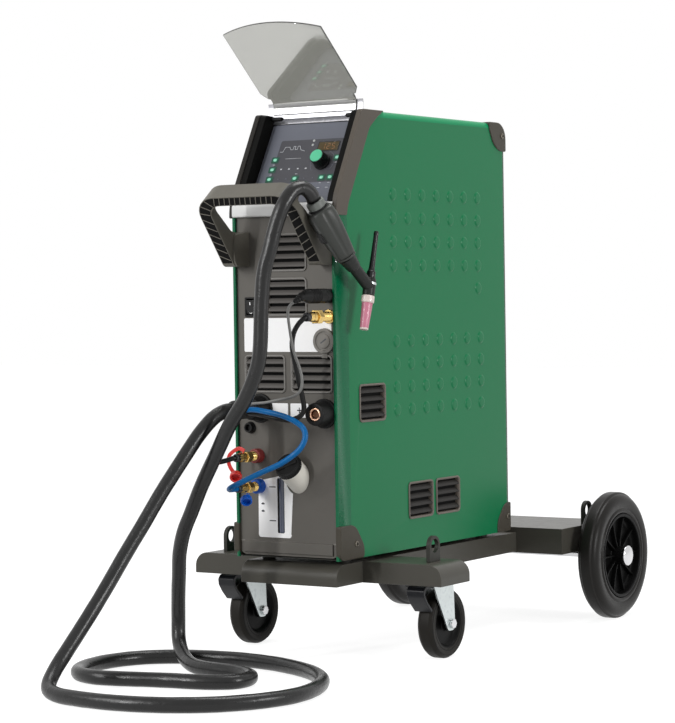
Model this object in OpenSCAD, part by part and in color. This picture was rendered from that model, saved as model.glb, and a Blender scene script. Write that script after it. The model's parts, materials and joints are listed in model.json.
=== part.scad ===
/* [Casing] */
// Width over the green side sheets
casing_w = 224; // [200:2:240]
// Length of the casing, front face to rear face
casing_d = 612; // [560:4:680]
// Height of the casing top above the floor
casing_top = 980; // [960:2:1000]
// Gap between the trolley deck and the casing floor
casing_gap = 8; // [6:1:12]
// Thickness of the casing sheet
sheet_t = 1.5; // [1:0.1:2]
// Length of the sloping front corner, measured along the casing
slope_run = 88; // [80:1:96]
// Height of the sloping front corner
slope_rise = 163; // [150:1:175]
// Thickness of the corner brackets and slope trims
bracket_t = 2.5; // [2:0.1:3]
// Radius of the corner brackets
bracket_r = 55; // [48:1:60]

/* [Side pattern] */
// Diameter of a pressed dimple
dimple_d = 23; // [16:1:28]
// Height of a pressed dimple
dimple_h = 1.2; // [0.6:0.1:1.6]
// Spacing of the dimples along the casing
dimple_pitch_y = 51.3; // [46:0.1:54]
// Spacing of the dimples in height
dimple_pitch_z = 43; // [36:1:46]

/* [Louvre grilles] */
// Width of a louvre grille
louvre_w = 88; // [80:1:92]
// Height of a louvre grille
louvre_h = 68; // [60:1:74]
// Number of air slots in a grille
louvre_slots = 4; // [3:1:5]

/* [Control panel] */
// Tilt of the control panel from the horizontal
panel_tilt = 60.3; // [58:0.1:62]
// Length of the control panel along its slope
panel_len = 188; // [180:1:190]
// Half width of the control panel between the hood cheeks
panel_half = 92; // [86:1:96]
// Diameter of the current knob
knob_d = 32; // [26:1:36]
// Height of the current knob
knob_h = 24; // [18:1:26]
// Travel of a key
key_travel = 0.8; // [0.4:0.1:1.2]

/* [Visor] */
// Thickness of the visor
visor_t = 3; // [2:0.5:4]
// Half width of the visor
visor_half = 104; // [98:1:108]
// Length of the flat of the visor at its side edges
visor_side = 170; // [160:1:176]
// Rise of the curved tip of the visor at its middle
visor_bulge = 20; // [10:1:26]

/* [Push handle] */
// Reach of the push handle in front of the casing
handle_reach = 126; // [120:1:132]
// Half width over the handle arms
handle_half = 104; // [100:1:106]
// Width of a handle arm
arm_w = 24; // [20:1:28]
// Depth of the handle grip bar
grip_d = 18; // [16:1:22]
// Height of the handle grip bar
grip_h = 38; // [30:1:42]
// Tilt of the handle loop from the horizontal
handle_tilt = 52; // [48:1:56]

/* [Trolley] */
// Height of the deck top above the floor
deck_top = 178; // [172:1:184]
// Depth of the deck flanges
deck_h = 38; // [34:1:42]
// Thickness of the trolley sheet
deck_t = 3; // [2:0.5:4]
// Half width of the deck below the casing
deck_half = 102; // [96:1:108]
// Half width over the front wings
wing_half = 264; // [250:2:270]
// Front edge of the wings behind the casing front
wing_y = 86; // [80:1:92]
// Length of the wings along the casing
wing_d = 101; // [96:1:110]
// Radius of the folded deck edges
fold_r = 25; // [18:1:28]
// Half width of the rear platform
platform_half = 203; // [190:1:205]
// Front edge of the rear platform behind the casing front
platform_y = 655; // [640:1:670]
// Length of the rear platform
platform_d = 215; // [190:5:225]
// Diameter of the lifting eye holes
eye_hole_d = 24; // [20:1:26]
// Width of a lifting eye
eye_w = 36; // [34:1:44]

/* [Rear wheels] */
// Diameter of a rear wheel
wheel_d = 250; // [240:2:260]
// Width of a rear tyre
tyre_w = 44; // [40:1:50]
// Diameter of the rear wheel rim
rim_d = 166; // [150:2:176]
// Distance of the rear axle behind the casing front
wheel_y = 805; // [795:1:815]
// Gap between the rear platform and a rear wheel
wheel_gap = 14; // [8:1:18]
// Diameter of the rear axle
axle_d = 16; // [14:1:20]
// Number of ribs in a rim
rim_ribs = 10; // [8:1:14]

/* [Casters] */
// Diameter of a caster wheel
caster_d = 125; // [115:1:128]
// Width of a caster tyre
caster_w = 32; // [28:1:36]
// Distance of the caster pivots from the ends of the wings
caster_inset = 60; // [54:1:68]
// Distance of the caster pivots behind the casing front
caster_y = 150; // [140:1:152]
// Trail of a caster wheel behind its pivot
caster_trail = 38; // [32:1:42]
// Diameter of a caster wheel bolt
caster_bolt_d = 10; // [8:1:12]

/* [Cooling] */
// Diameter of the cooling fan
fan_d = 170; // [140:2:180]
// Number of fan blades
fan_blades = 7; // [5:1:9]

/* [Torch and hoses] */
// Diameter of the sleeved hose package
hose_d = 27; // [22:1:27]
// Diameter of the coolant hoses
coolant_d = 10; // [8:0.5:11]
// Diameter of the gas hose
gas_d = 9; // [7:0.5:10]
// Diameter of the control cable
cable_d = 5; // [4:0.5:6]
// Largest diameter of the torch grip
torch_d = 46; // [40:1:48]
// Length of the torch grip
torch_len = 118; // [110:1:124]

/* [Hidden] */
$fn = 48;

// Clearances
slip = 0.3;     // between pieces that only lie close
run_gap = 0.05; // radial running clearance of a shaft in its hole
eps = 0.1;      // overshoot of a cut

// The origin is under the middle of the object, so the casing front lies forward of it
front_y = -(wheel_y + wheel_d / 2 - handle_reach) / 2;

// Casing
half_w = casing_w / 2;
inner_half = half_w - sheet_t;
casing_bottom = deck_top + casing_gap;
casing_r = 32;
slope_z = casing_top - slope_rise;
slope_a = atan2(slope_rise, slope_run);
front_blend_r = 90;
edge_r = 6;
panel_face = 6;
panel_t = 4;
panel_back = panel_face + panel_t;
panel_side = inner_half - 4.5;
lip_z = 793;
lip_h = 20;
lip_out = 8;
hood_back = 163;
trim_w = 38;
rear_t = 2;
rear_in = 3;

// Control panel
panel_y0 = 20;
panel_z0 = 800;
foil_t = 2;
hood_t = 4;

// Visor
visor_hinge = [107.3, 972];
visor_open_a = 139.5;
visor_base_a = 80;
visor_base = 18;
visor_bend_r = 18;
hinge_pin_d = 4;
barrel_r = 4;

// Handle
handle_plane_z = 661.5;
foot_z0 = 704;
foot_z1 = 766;

// Deck
rail_h = deck_h - deck_t;
platform_top = deck_top + 10;
platform_h = 50;
eye_t = 8;
eye_h = 46;
eye_x = wing_half - 45;
eye_y = wing_y + wing_d / 2;
rear_eye_x = platform_half - 7;
rear_eye_y = wheel_y - 30;

// Wheels
wheel_r = wheel_d / 2;
wheel_x = platform_half + wheel_gap + tyre_w / 2;
caster_x = wing_half - caster_inset;
caster_r = caster_d / 2;
caster_top = deck_top - deck_t;
kingpin_d = 12;
fork_t = 3;
fork_top = caster_top - 14;
pedal_y = -9;
pedal_z = 136;

// Panel openings: [x, z] of their middles
plus_xz = [80, 444];
minus_xz = [-56, 452];
control_xz = [94, 650];
gas_xz = [94, 614];
red_xz = [-62, 367];
blue_xz = [-60, 313];
small_xz = [-78, 417];
cover_xz = [82.5, 571];
rocker_xz = [-74, 632];
neck_xz = [21.3, 331];
neck_tilt = 35;
neck_r = 23.5;
neck_len = 30;
cap_r = 24.5;
cap_h = 12;
level_x = [-62, 13];
level_z = [222, 334];
slot_x = [-23, -8];
slot_z = [230, 328];
socket_r = 22;
socket_front = 34;
plug_r = 17;
plug_front = 80;
control_plug_len = 66;
hose_r = hose_d / 2;
coupling_front = 58;

// Louvre places: front [x, z], side [y, z]
louvre_front = [[3, 728], [3, 649.5], [-45, 513], [54, 513]];
louvre_side = [[112, 459], [275, 274], [373, 274]];

// Dimples
dimple_y0 = 192;
dimple_z0 = 832;
dimple_low_z0 = 566;
dimple_cols = 7;
dimple_rows = 4;

// Fan
fan_z = 640;
fan_r = fan_d / 2;
fan_y = casing_d - rear_in - 34;

// Internal shelf
shelf_z = 452;

// Torch: grip axis from the hose end, head and nozzle direction
torch_at = [119.5, -78, 813];
torch_to = [142, -15, 718];
torch_axis = unit(torch_to - torch_at);
torch_tip_axis = unit([-0.02, -0.23, -0.973]);
torch_head = [147, 52, 664];
torch_end = torch_at + torch_axis * torch_len;

// Keys: [x, height up the panel]
key_at = [[-63, 110], [-63, 89.5], [-63, 69], [-8, 69], [49, 69], [67, 69], [70, 110]];
knob_at = [41, 101];
key_size = [10, 8];

// Hose routes, from the machine end, measured from the casing front
hose_route = [
  [-56, -80, 452], [-56, -107, 451], [-60, -135, 440], [-69, -166, 412], [-82, -200, 368],
  [-98, -235, 318], [-112, -270, 266], [-124, -306, 217], [-134, -345, 166], [-141, -386, 120],
  [-146, -428, 78], [-147, -468, 42], [-134, -500, 20], [-100, -520, 14], [-50, -532, 13.6],
  [10, -536, 13.6], [75, -527, 13.6], [138, -502, 13.6], [192, -460, 13.6], [231, -398, 13.6],
  [245, -328, 13.6], [228, -250, 13.6], [188, -182, 13.6], [126, -128, 13.6], [42, -88, 13.6],
  [-42, -72, 13.6], [-108, -76, 13.6], [-172, -94, 13.6], [-225, -135, 13.6], [-250, -200, 13.6],
  [-244, -272, 13.6], [-212, -326, 13.6], [-160, -347, 13.6], [-100, -336, 13.6], [-38, -318, 13.6],
  [30, -305, 13.6], [78, -276, 13.6], [76, -226, 13.6], [32, -198, 13.6], [-28, -188, 13.6],
  [-82, -170, 14], [-126, -140, 23], [-156, -114, 46], [-161, -108, 84], [-153, -118, 124],
  [-142, -130, 165], [-131, -142, 204], [-115, -150, 243], [-95, -152, 281], [-71, -154, 327],
  [-42, -154, 377], [-10, -154, 432], [22, -155, 474], [46, -156, 519], [57, -157, 560],
  [62, -158, 633], [68, -158, 690], [79, -153, 735], [88, -145, 778], [97, -137, 807],
  [105, -120, 830], [112, -101, 835], [117.5, -86, 826], [119.5, -78, 813]];
blue_route = [
  [-39, -64, 452], [-22, -66, 453], [5, -69, 450], [40, -71, 444], [68, -73, 435],
  [88, -75, 423], [94, -78, 407], [88, -84, 389], [72, -90, 374], [48, -93, 360],
  [14, -96, 346], [-20, -99, 331], [-44, -101, 320], [-58, -92, 314], [-60, -76, 313],
  [-60, -58, 313]];
red_route = [
  [-56, -68, 435], [-57, -74, 424], [-63, -86, 405], [-74, -98, 383], [-84, -101, 368],
  [-85, -90, 361], [-75, -78, 363], [-64, -70, 367], [-62, -58, 367]];
gas_route = [
  [94, -62, 614], [92, -72, 612], [82, -76, 602], [70, -74, 585], [63, -68, 562],
  [62, -58, 534], [64, -50, 502], [66, -42, 472], [66, -39, 452], [58, -43, 440],
  [42, -51, 435], [24, -55, 437], [0, -57, 441], [-24, -56, 445], [-40, -56, 447]];
cable_route = [
  [84, -92, 640], [76, -95, 632], [73, -94, 617], [76, -90, 578], [81, -88, 552],
  [88, -85, 530], [92, -82, 508], [86, -79, 488], [68, -77, 477], [38, -75, 471],
  [8, -74, 466], [-16, -73, 464], [-41, -72, 460]];

// ---------- vector and outline helpers ----------

function unit(v) = v / norm(v);

function half_angle(a, b, c) = acos(unit(a - b) * unit(c - b)) / 2;

// Points of an arc of radius r that rounds the corner b between a and c
function corner(a, b, c, r, n = 8) = r <= 0 ? [b] :
  let (u = unit(a - b),
       v = unit(c - b),
       h = half_angle(a, b, c),
       m = b + unit(u + v) * r / sin(h),
       s = b + u * r / tan(h) - m,
       e = b + v * r / tan(h) - m,
       a0 = atan2(s[1], s[0]),
       turn = (atan2(e[1], e[0]) - a0 + 540) % 360 - 180)
  [for (i = [0:n]) m + r * [cos(a0 + turn * i / n), sin(a0 + turn * i / n)]];

// An outline with each corner rounded by its own radius
function rounded(pts, rs, n = 8) = let (k = len(pts))
  [for (i = [0:k - 1]) each corner(pts[(i + k - 1) % k], pts[i], pts[(i + 1) % k], rs[i], n)];

// Points of an arc about m from angle a0 to a1
function arc_pts(m, r, a0, a1, n = 12) =
  [for (i = [0:n]) m + r * [cos(a0 + (a1 - a0) * i / n), sin(a0 + (a1 - a0) * i / n)]];

function box_pts(x0, y0, x1, y1) = [[x0, y0], [x1, y0], [x1, y1], [x0, y1]];

// ---------- swept tubes ----------

// Points of a smooth curve through the route, steps points to a span
function spline_at(p0, p1, p2, p3, t) = 0.5 * (2 * p1 + (p2 - p0) * t
  + (2 * p0 - 5 * p1 + 4 * p2 - p3) * t * t + (3 * p1 - p0 - 3 * p2 + p3) * t * t * t);

function smooth(r, steps) = let (k = len(r) - 1)
  [for (i = [0:k - 1], j = [0:steps - 1])
     spline_at(r[max(i - 1, 0)], r[i], r[i + 1], r[min(i + 2, k)], j / steps), r[k]];

function heading(p, i) = unit(p[min(i + 1, len(p) - 1)] - p[max(i - 1, 0)]);

// Side vectors carried along the path without twist
function sides(p, i, v) = let (h = heading(p, i), w = unit(v - (v * h) * h))
  i == len(p) - 1 ? [w] : concat([w], sides(p, i + 1, w));

module tube(route, d, steps = 1, facets = 10) {
  p = smooth(route, steps);
  h0 = heading(p, 0);
  u = sides(p, 0, abs(h0[2]) > 0.8 ? [1, 0, 0] : [0, 0, 1]);
  n = len(p);
  r = d / 2;
  pts = [for (i = [0:n - 1], j = [0:facets - 1])
    let (h = heading(p, i), v = cross(h, u[i]), a = 360 * j / facets)
    p[i] + r * (cos(a) * u[i] + sin(a) * v)];
  ends = [[for (j = [0:facets - 1]) facets - 1 - j],
          [for (j = [0:facets - 1]) (n - 1) * facets + j]];
  walls = [for (i = [0:n - 2], j = [0:facets - 1])
    let (k = (j + 1) % facets, a = i * facets)
    each [[a + j, a + k, a + facets + k], [a + j, a + facets + k, a + facets + j]]];
  polyhedron(points = pts, faces = concat(ends, walls));
}

// Least gap of the hose package to itself, leaving out neighbouring rings
function self_gap(p, skip) = min([for (i = [0:len(p) - 1 - skip], j = [i + skip:len(p) - 1])
  norm(p[i] - p[j])]) - hose_d;

// ---------- placing helpers ----------

module at_front() {
  translate([0, front_y, 0])
    children();
}

// Outline in casing length and height, extruded across the casing from x0 to x1
module across(x0, x1) {
  translate([x0, 0, 0])
    rotate([90, 0, 90])
      linear_extrude(x1 - x0)
        children();
}

// Outline in x and height, extruded along the casing from y0 to y1
module along(y0, y1) {
  translate([0, y1, 0])
    rotate([90, 0, 0])
      linear_extrude(y1 - y0)
        children();
}

module both_sides() {
  for (m = [0, 1])
    mirror([m, 0, 0])
      children();
}

module on_panel() {
  translate([0, panel_y0, panel_z0])
    rotate([panel_tilt, 0, 0])
      children();
}

// A round piece that stands out of the front panel: local Z points forward
module on_face(xz, y = panel_face) {
  translate([xz[0], y, xz[1]])
    rotate([90, 0, 0])
      children();
}

module at_neck() {
  translate([neck_xz[0], panel_face, neck_xz[1]])
    rotate([90 - neck_tilt, 0, 0])
      children();
}

// Local Z along direction v from point p
module aim(p, v) {
  translate(p)
    rotate([0, acos(v[2]), atan2(v[1], v[0])])
      children();
}

module block(lo, hi) {
  translate(lo)
    cube(hi - lo);
}

module rod_x(x0, x1, y, z, r) {
  translate([x0, y, z])
    rotate([0, 90, 0])
      cylinder(h = x1 - x0, r = r);
}

// ---------- casing ----------

casing_pts = [[0, casing_bottom], [0, slope_z], [slope_run, casing_top],
  [casing_d, casing_top], [casing_d, casing_bottom]];
casing_outline = rounded(casing_pts, [0, front_blend_r, 10, casing_r, 0], 10);

// Hollow of the cover in length and height: the top sheet bends down at the rear
cover_hollow = concat([[-5, casing_bottom - 5], [-5, casing_top - sheet_t]],
  corner([0, casing_top - sheet_t], [casing_d - sheet_t, casing_top - sheet_t],
         [casing_d - sheet_t, casing_bottom], casing_r - sheet_t, 10),
  [[casing_d + 5, casing_top - casing_r], [casing_d + 5, casing_bottom - 5]]);

// Top corner of the cross-section is a fold, the bottom is open
function fold_outline(h, top, bottom, r) =
  rounded([[-h, bottom], [-h, top], [h, top], [h, bottom]], [0, r, r, 0]);

module side_windows() {
  for (p = louvre_side)
    block([-half_w - 5, p[0] - louvre_w / 2 + 2, p[1] - louvre_h / 2 + 2],
          [half_w + 5, p[0] + louvre_w / 2 - 2, p[1] + louvre_h / 2 - 2]);
}

module dimple(y, z) {
  translate([half_w - eps, y, z])
    rotate([0, 90, 0])
      cylinder(h = dimple_h + eps, d1 = dimple_d, d2 = dimple_d - 8, $fn = 24);
}

module dimples() {
  for (i = [0:dimple_cols - 1], j = [0:dimple_rows - 1]) {
    dimple(dimple_y0 + i * dimple_pitch_y, dimple_z0 - j * dimple_pitch_z);
    dimple(dimple_y0 + 6 + i * dimple_pitch_y, dimple_low_z0 - j * (dimple_pitch_z - 1.5));
  }
  dimple(dimple_y0 + (dimple_cols - 1) * dimple_pitch_y,
         dimple_z0 - dimple_rows * dimple_pitch_z);
}

module casing_cover() {
  color("seagreen") at_front() {
    difference() {
      intersection() {
        along(0, casing_d)
          polygon(fold_outline(half_w, casing_top, casing_bottom, edge_r));
        across(-half_w, half_w)
          polygon(casing_outline);
      }
      intersection() {
        along(-eps, casing_d + eps)
          polygon(fold_outline(inner_half, casing_top - sheet_t, casing_bottom - 1, edge_r - sheet_t));
        across(-inner_half, inner_half)
          polygon(cover_hollow);
      }
      across(-inner_half, inner_half)
        polygon([[-5, slope_z - 30], [-5, casing_top + 5], [hood_back + slip, casing_top + 5],
                 [hood_back + slip, casing_top - edge_r - 1], [slope_run, casing_top - edge_r - 1]]);
      side_windows();
    }
    both_sides() dimples();
    both_sides()
      block([inner_half - 3, 0, casing_bottom], [inner_half, sheet_t, slope_z - 24]);
  }
}

function slope_line(off) = [for (p = [[0, slope_z], [slope_run, casing_top]])
  p + off * [sin(slope_a), -cos(slope_a)]];

module hood_trims() {
  s = slope_line(trim_w);
  pts = [[0, slope_z - 26], [0, slope_z], [slope_run, casing_top], [hood_back, casing_top],
         [hood_back - 24, casing_top - 10], s[1] - [8, 15], s[0] + [6, 11], [trim_w - 3, slope_z - 26]];
  color("dimgray") at_front() both_sides()
    across(half_w, half_w + bracket_t)
      polygon(rounded(pts, [0, front_blend_r, 10, 0, 12, 20, 60, 0]));
}

// Outer plate of a bracket at a casing corner, in length and height
module bracket_plates() {
  across(half_w, half_w + bracket_t) {
    polygon(rounded([[casing_d - bracket_r - 4, casing_top], [casing_d, casing_top],
                     [casing_d, casing_top - bracket_r], [casing_d - bracket_r - 4, casing_top - bracket_r]],
                    [0, casing_r, 0, bracket_r - 4]));
    polygon(rounded([[casing_d - bracket_r + 4, casing_bottom], [casing_d, casing_bottom],
                     [casing_d, casing_bottom + bracket_r], [casing_d - bracket_r + 4, casing_bottom + bracket_r]],
                    [0, 8, 0, bracket_r - 8]));
    polygon(rounded([[0, casing_bottom], [bracket_r + 22, casing_bottom],
                     [bracket_r + 22, casing_bottom + bracket_r + 6], [0, casing_bottom + bracket_r + 6]],
                    [12, 0, bracket_r - 4, 6]));
  }
}

module corner_brackets() {
  color("dimgray") at_front() both_sides() {
    bracket_plates();
    block([half_w - 10, casing_d, casing_bottom], [half_w + bracket_t, casing_d + sheet_t, casing_bottom + bracket_r]);
    block([half_w - 10, casing_d, casing_top - bracket_r], [half_w + bracket_t, casing_d + sheet_t, casing_top - casing_r]);
  }
}

// Screw places on the casing side: [y, z]
screw_yz = [[casing_d - 14, casing_top - 25], [casing_d - 11, casing_bottom + 29],
            [50, casing_bottom + 27]];

module casing_screws() {
  color("silver") at_front() both_sides()
    for (p = screw_yz)
      difference() {
        rod_x(half_w + bracket_t, half_w + bracket_t + 2, p[0], p[1], 5.5);
        rod_x(half_w + bracket_t + 0.8, half_w + bracket_t + 3, p[0], p[1], 2.6, $fn = 6);
      }
}

// ---------- louvres ----------

// A grille that lies on z = 0 with its slots cut through; local Y is up
module louvre(back) {
  slot_h = (louvre_h - 12) / louvre_slots;
  difference() {
    union() {
      linear_extrude(2.5)
        polygon(rounded(box_pts(-louvre_w / 2, -louvre_h / 2, louvre_w / 2, louvre_h / 2), [8, 8, 8, 8]));
      translate([0, 0, -back])
        linear_extrude(back + eps)
          square([louvre_w - 4 - 2 * slip, louvre_h - 4 - 2 * slip], center = true);
    }
    for (i = [0:louvre_slots - 1])
      translate([0, (i + 0.5 - louvre_slots / 2) * slot_h, 0])
        rotate([-25, 0, 0])
          cube([louvre_w - 14, slot_h * 0.55, 4 * back + 12], center = true);
  }
}

module louvre_grilles() {
  color([0.22, 0.21, 0.2]) at_front() {
    for (p = louvre_front)
      on_face(p)
        louvre(3);
    both_sides()
      for (p = louvre_side)
        translate([half_w, p[0], p[1]])
          rotate([90, 0, 90])
            louvre(3);
  }
}

// ---------- front and rear panels ----------

module front_holes() {
  for (p = louvre_front)
    block([p[0] - louvre_w / 2 + 2, -20, p[1] - louvre_h / 2 + 2],
          [p[0] + louvre_w / 2 - 2, panel_back + 5, p[1] + louvre_h / 2 - 2]);
  block([slot_x[0], -20, slot_z[0]], [slot_x[1], panel_back + 5, slot_z[1]]);
  block([rocker_xz[0] - 10, -20, rocker_xz[1] - 15.5], [rocker_xz[0] + 10, panel_back + 5, rocker_xz[1] + 15.5]);
  at_neck()
    translate([0, 0, -30])
      cylinder(h = 80, r = neck_r + 0.5);
}

module front_panel() {
  color([0.38, 0.37, 0.36]) at_front()
    difference() {
      union() {
        along(panel_face, panel_back)
          polygon(rounded(box_pts(-panel_side, casing_bottom + 4, panel_side, lip_z + 4), [16, 16, 0, 0]));
        across(-panel_side, panel_side)
          polygon(rounded([[panel_back, lip_z], [panel_back, lip_z + lip_h + 3], [panel_face - lip_out, lip_z + lip_h],
                           [panel_face - lip_out, lip_z]], [0, 0, 5, 3]));
        across(-panel_side + 12, panel_side - 12)
          polygon(rounded([[panel_back, casing_bottom + 6], [panel_face - 3, casing_bottom + 9],
                           [panel_face - 3, casing_bottom + 28], [panel_back, casing_bottom + 34]], [0, 2, 2, 0]));
        // side returns that stand against the cover
        both_sides()
          block([panel_side - 3, panel_back - eps, casing_bottom + 20], [inner_half, panel_back + 12, lip_z]);
      }
      front_holes();
    }
}

module rear_slots() {
  slots = 9;
  pitch = fan_d / slots;
  for (i = [0:slots - 1]) {
    z = (i - (slots - 1) / 2) * pitch;
    w = sqrt(fan_r * fan_r - z * z) - 4;
    for (s = [-1, 1])
      translate([s * (w + 5) / 2, 0, fan_z + z])
        cube([w - 5, 30, pitch * 0.5], center = true);
  }
}

module rear_panel() {
  color([0.3, 0.3, 0.3]) at_front()
    difference() {
      along(casing_d - rear_in - rear_t, casing_d - rear_in)
        polygon(fold_outline(inner_half, casing_top - casing_r + 4, casing_bottom, 0));
      translate([0, casing_d - rear_in, 0])
        rear_slots();
    }
}

module inner_chassis() {
  back = casing_d - rear_in - rear_t;
  color("lightgray") at_front() {
    // floor with four feet
    difference() {
      block([-inner_half, panel_back + 1, casing_bottom], [inner_half, back, casing_bottom + 2]);
      block([-60, 360, casing_bottom - 1], [60, 420, casing_bottom + 5]);
    }
    for (x = [-80, 80], y = [60, casing_d - 60])
      translate([x, y, deck_top])
        cylinder(h = casing_gap, r = 12);
    // shelf with its two uprights
    block([-inner_half + 2, panel_back + 14, shelf_z], [inner_half - 2, back - 10, shelf_z + 2]);
    for (y = [190, back - 16])
      difference() {
        block([-inner_half + 2, y, casing_bottom + 2], [inner_half - 2, y + 2, shelf_z]);
        block([-70, y - 1, casing_bottom + 60], [70, y + 3, shelf_z - 40]);
      }
  }
}

// ---------- control hood ----------

module control_hood() {
  drop = sheet_t;
  cheek = [[2, slope_z - 24], [2, slope_z], [slope_run + 1, casing_top - drop],
           [hood_back, casing_top - drop], [hood_back, casing_top - 22],
           [66, slope_z - 24]];
  color([0.12, 0.12, 0.12]) at_front() {
    difference() {
      both_sides()
        across(panel_half, inner_half)
          polygon(rounded(cheek, [0, front_blend_r, 8, 0, 6, 20]));
      // room for the lip of the front panel
      block([-half_w, -5, lip_z - 5], [half_w, panel_back + slip, lip_z + lip_h + 3 + slip]);
    }
    // plate under the foil, with a window for the keys
    on_panel()
      difference() {
        block([-panel_half - 1, 2, -foil_t - hood_t], [panel_half + 1, panel_len, -foil_t]);
        block([-panel_half + 10, 24, -foil_t - hood_t - 1], [panel_half - 10, 162, 0]);
      }
    // roof behind the visor
    across(-panel_half - 1, panel_half + 1)
      polygon([[116, 958], [119, 961], [hood_back, casing_top - drop],
               [hood_back, casing_top - drop - 4], [118, 955]]);
    // apron down to the panel lip
    across(-panel_half - 1, panel_half + 1)
      polygon([[panel_back, lip_z + lip_h - 7], [12, lip_z + lip_h - 6], [21.2, panel_z0 + 2.2],
               [26, panel_z0 - 0.5], [26, panel_z0 - 3], [panel_back, panel_z0]]);
    // hinge pins of the visor
    both_sides()
      rod_x(panel_half - 24, panel_half + 2, visor_hinge[0], visor_hinge[1], hinge_pin_d / 2);
  }
}

module control_foil() {
  clear = 0.2;
  color([0.37, 0.38, 0.41]) at_front() on_panel()
    difference() {
      translate([0, 0, -foil_t])
        linear_extrude(foil_t)
          polygon(rounded(box_pts(-panel_half + 1, 3, panel_half - 1, panel_len - 2), [3, 3, 3, 3]));
      for (k = key_at)
        translate([k[0], k[1], -foil_t / 2])
          cube([key_size[0] + 2 * clear, key_size[1] + 2 * clear, foil_t + 1], center = true);
      translate([knob_at[0], knob_at[1], -foil_t - 1])
        cylinder(h = foil_t + 2, r = 3 + run_gap);
    }
}

module key(i) {
  color("mediumseagreen") at_front() on_panel()
    translate([key_at[i][0], key_at[i][1], 0]) {
      linear_extrude(1.5)
        polygon(rounded(box_pts(-key_size[0] / 2, -key_size[1] / 2, key_size[0] / 2, key_size[1] / 2),
                        [2, 2, 2, 2]));
      translate([0, 0, -foil_t / 2])
        cube([key_size[0], key_size[1], foil_t + eps], center = true);
      translate([0, 0, -foil_t - 0.55])
        cube([key_size[0] + 3, key_size[1] + 3, 1], center = true);
    }
}

module current_knob() {
  flutes = 12;
  r = knob_d / 2;
  color([0.1, 0.1, 0.1]) at_front() on_panel()
    translate([knob_at[0], knob_at[1], 0]) {
      translate([0, 0, slip])
        cylinder(h = 4, r = r);
      difference() {
        translate([0, 0, 4])
          cylinder(h = knob_h - 4, r = r - 1);
        for (i = [0:flutes - 1])
          rotate([0, 0, 360 * i / flutes])
            translate([r - 1, 0, 6])
              cylinder(h = knob_h, r = 1, $fn = 16);
      }
      translate([0, 0, -foil_t - 6])
        cylinder(h = foil_t + 7, r = 3);
    }
}

module control_board() {
  below = foil_t + 8;
  color("darkgreen") at_front() on_panel() {
    difference() {
      block([-panel_half + 14, 28, -below - 1.6], [panel_half - 14, 158, -below]);
      translate([knob_at[0], knob_at[1], -below - 3])
        cylinder(h = 6, r = 4);
    }
    // stand-offs to the hood plate
    for (x = [-panel_half + 12, panel_half - 12], y = [26, 160])
      translate([x, y, -below - 1.6])
        cylinder(h = below + 1.6 - foil_t - hood_t, r = 4);
    for (p = [[-40, 60], [0, 110], [40, 50]])
      translate([p[0], p[1], -below - 5])
        cube([24, 16, 7], center = true);
  }
}

// ---------- visor ----------

visor_dir = [cos(visor_base_a), sin(visor_base_a)];
visor_side_dir = [-visor_dir[1], visor_dir[0]];
visor_flat_dir = [cos(visor_open_a), sin(visor_open_a)];
visor_bend_at = visor_hinge + visor_base * visor_dir + visor_bend_r * visor_side_dir;
visor_flat_at = visor_bend_at + visor_bend_r * [visor_flat_dir[1], -visor_flat_dir[0]];
visor_tip_r = (visor_half * visor_half + visor_bulge * visor_bulge) / (2 * visor_bulge);
visor_neck = panel_half - 2;
rail_t = visor_t + 1;
rail_grip = 4;

// Cross-section of the hinge rail: base, bend, and the stretch that grips the flat
module visor_rail() {
  h = rail_t / 2;
  start = visor_hinge + (barrel_r - 1) * visor_dir;
  side_a = visor_base_a - 90;
  end_a = visor_open_a - 90;
  polygon(concat([start - h * visor_side_dir],
                 arc_pts(visor_bend_at, visor_bend_r + h, side_a, end_a),
                 [for (r = [h, -h]) visor_flat_at + rail_grip * visor_flat_dir
                    + r * [visor_flat_dir[1], -visor_flat_dir[0]]],
                 arc_pts(visor_bend_at, visor_bend_r - h, end_a, side_a),
                 [start + h * visor_side_dir]));
}

// Outline of the flat: narrow in the rail, wide above it, curved at the tip
module visor_flat() {
  steps = 16;
  sweep = asin(visor_half / visor_tip_r);
  neck = visor_neck - 1;
  tip = [for (i = [0:steps]) let (a = sweep - 2 * sweep * i / steps)
    [visor_tip_r * sin(a), visor_side + visor_bulge - visor_tip_r + visor_tip_r * cos(a)]];
  polygon(concat([[-visor_half, 22], [-neck - 6, rail_grip + 3], [-neck, rail_grip + 1], [-neck, 1],
                  [neck, 1], [neck, rail_grip + 1], [neck + 6, rail_grip + 3], [visor_half, 22]], tip));
}

module visor() {
  color([0.55, 0.55, 0.55, 0.5]) at_front() {
    translate([0, visor_flat_at[0], visor_flat_at[1]])
      rotate([visor_open_a, 0, 0])
        translate([0, 0, -visor_t / 2])
          linear_extrude(visor_t)
            visor_flat();
    across(-visor_neck, visor_neck)
      visor_rail();
    both_sides()
      difference() {
        rod_x(panel_half - 22, visor_neck + 0.5, visor_hinge[0], visor_hinge[1], barrel_r);
        rod_x(panel_half - 25, panel_half, visor_hinge[0], visor_hinge[1], hinge_pin_d / 2 + run_gap);
      }
  }
}

// ---------- handle ----------

handle_v = handle_reach / cos(handle_tilt);

module handle_loop(h) {
  linear_extrude(h)
    difference() {
      polygon(rounded(box_pts(-handle_half, -20, handle_half, handle_v), [0, 0, 42, 42]));
      polygon(rounded(box_pts(-handle_half + arm_w, -30, handle_half - arm_w, handle_v - grip_d),
                      [0, 0, 26, 26]));
    }
}

// Local X across, Y up the loop, Z up and back out of its lower face
module on_loop() {
  translate([0, 0, handle_plane_z])
    rotate([180 - handle_tilt, 0, 0])
      mirror([0, 0, 1])
        children();
}

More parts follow.
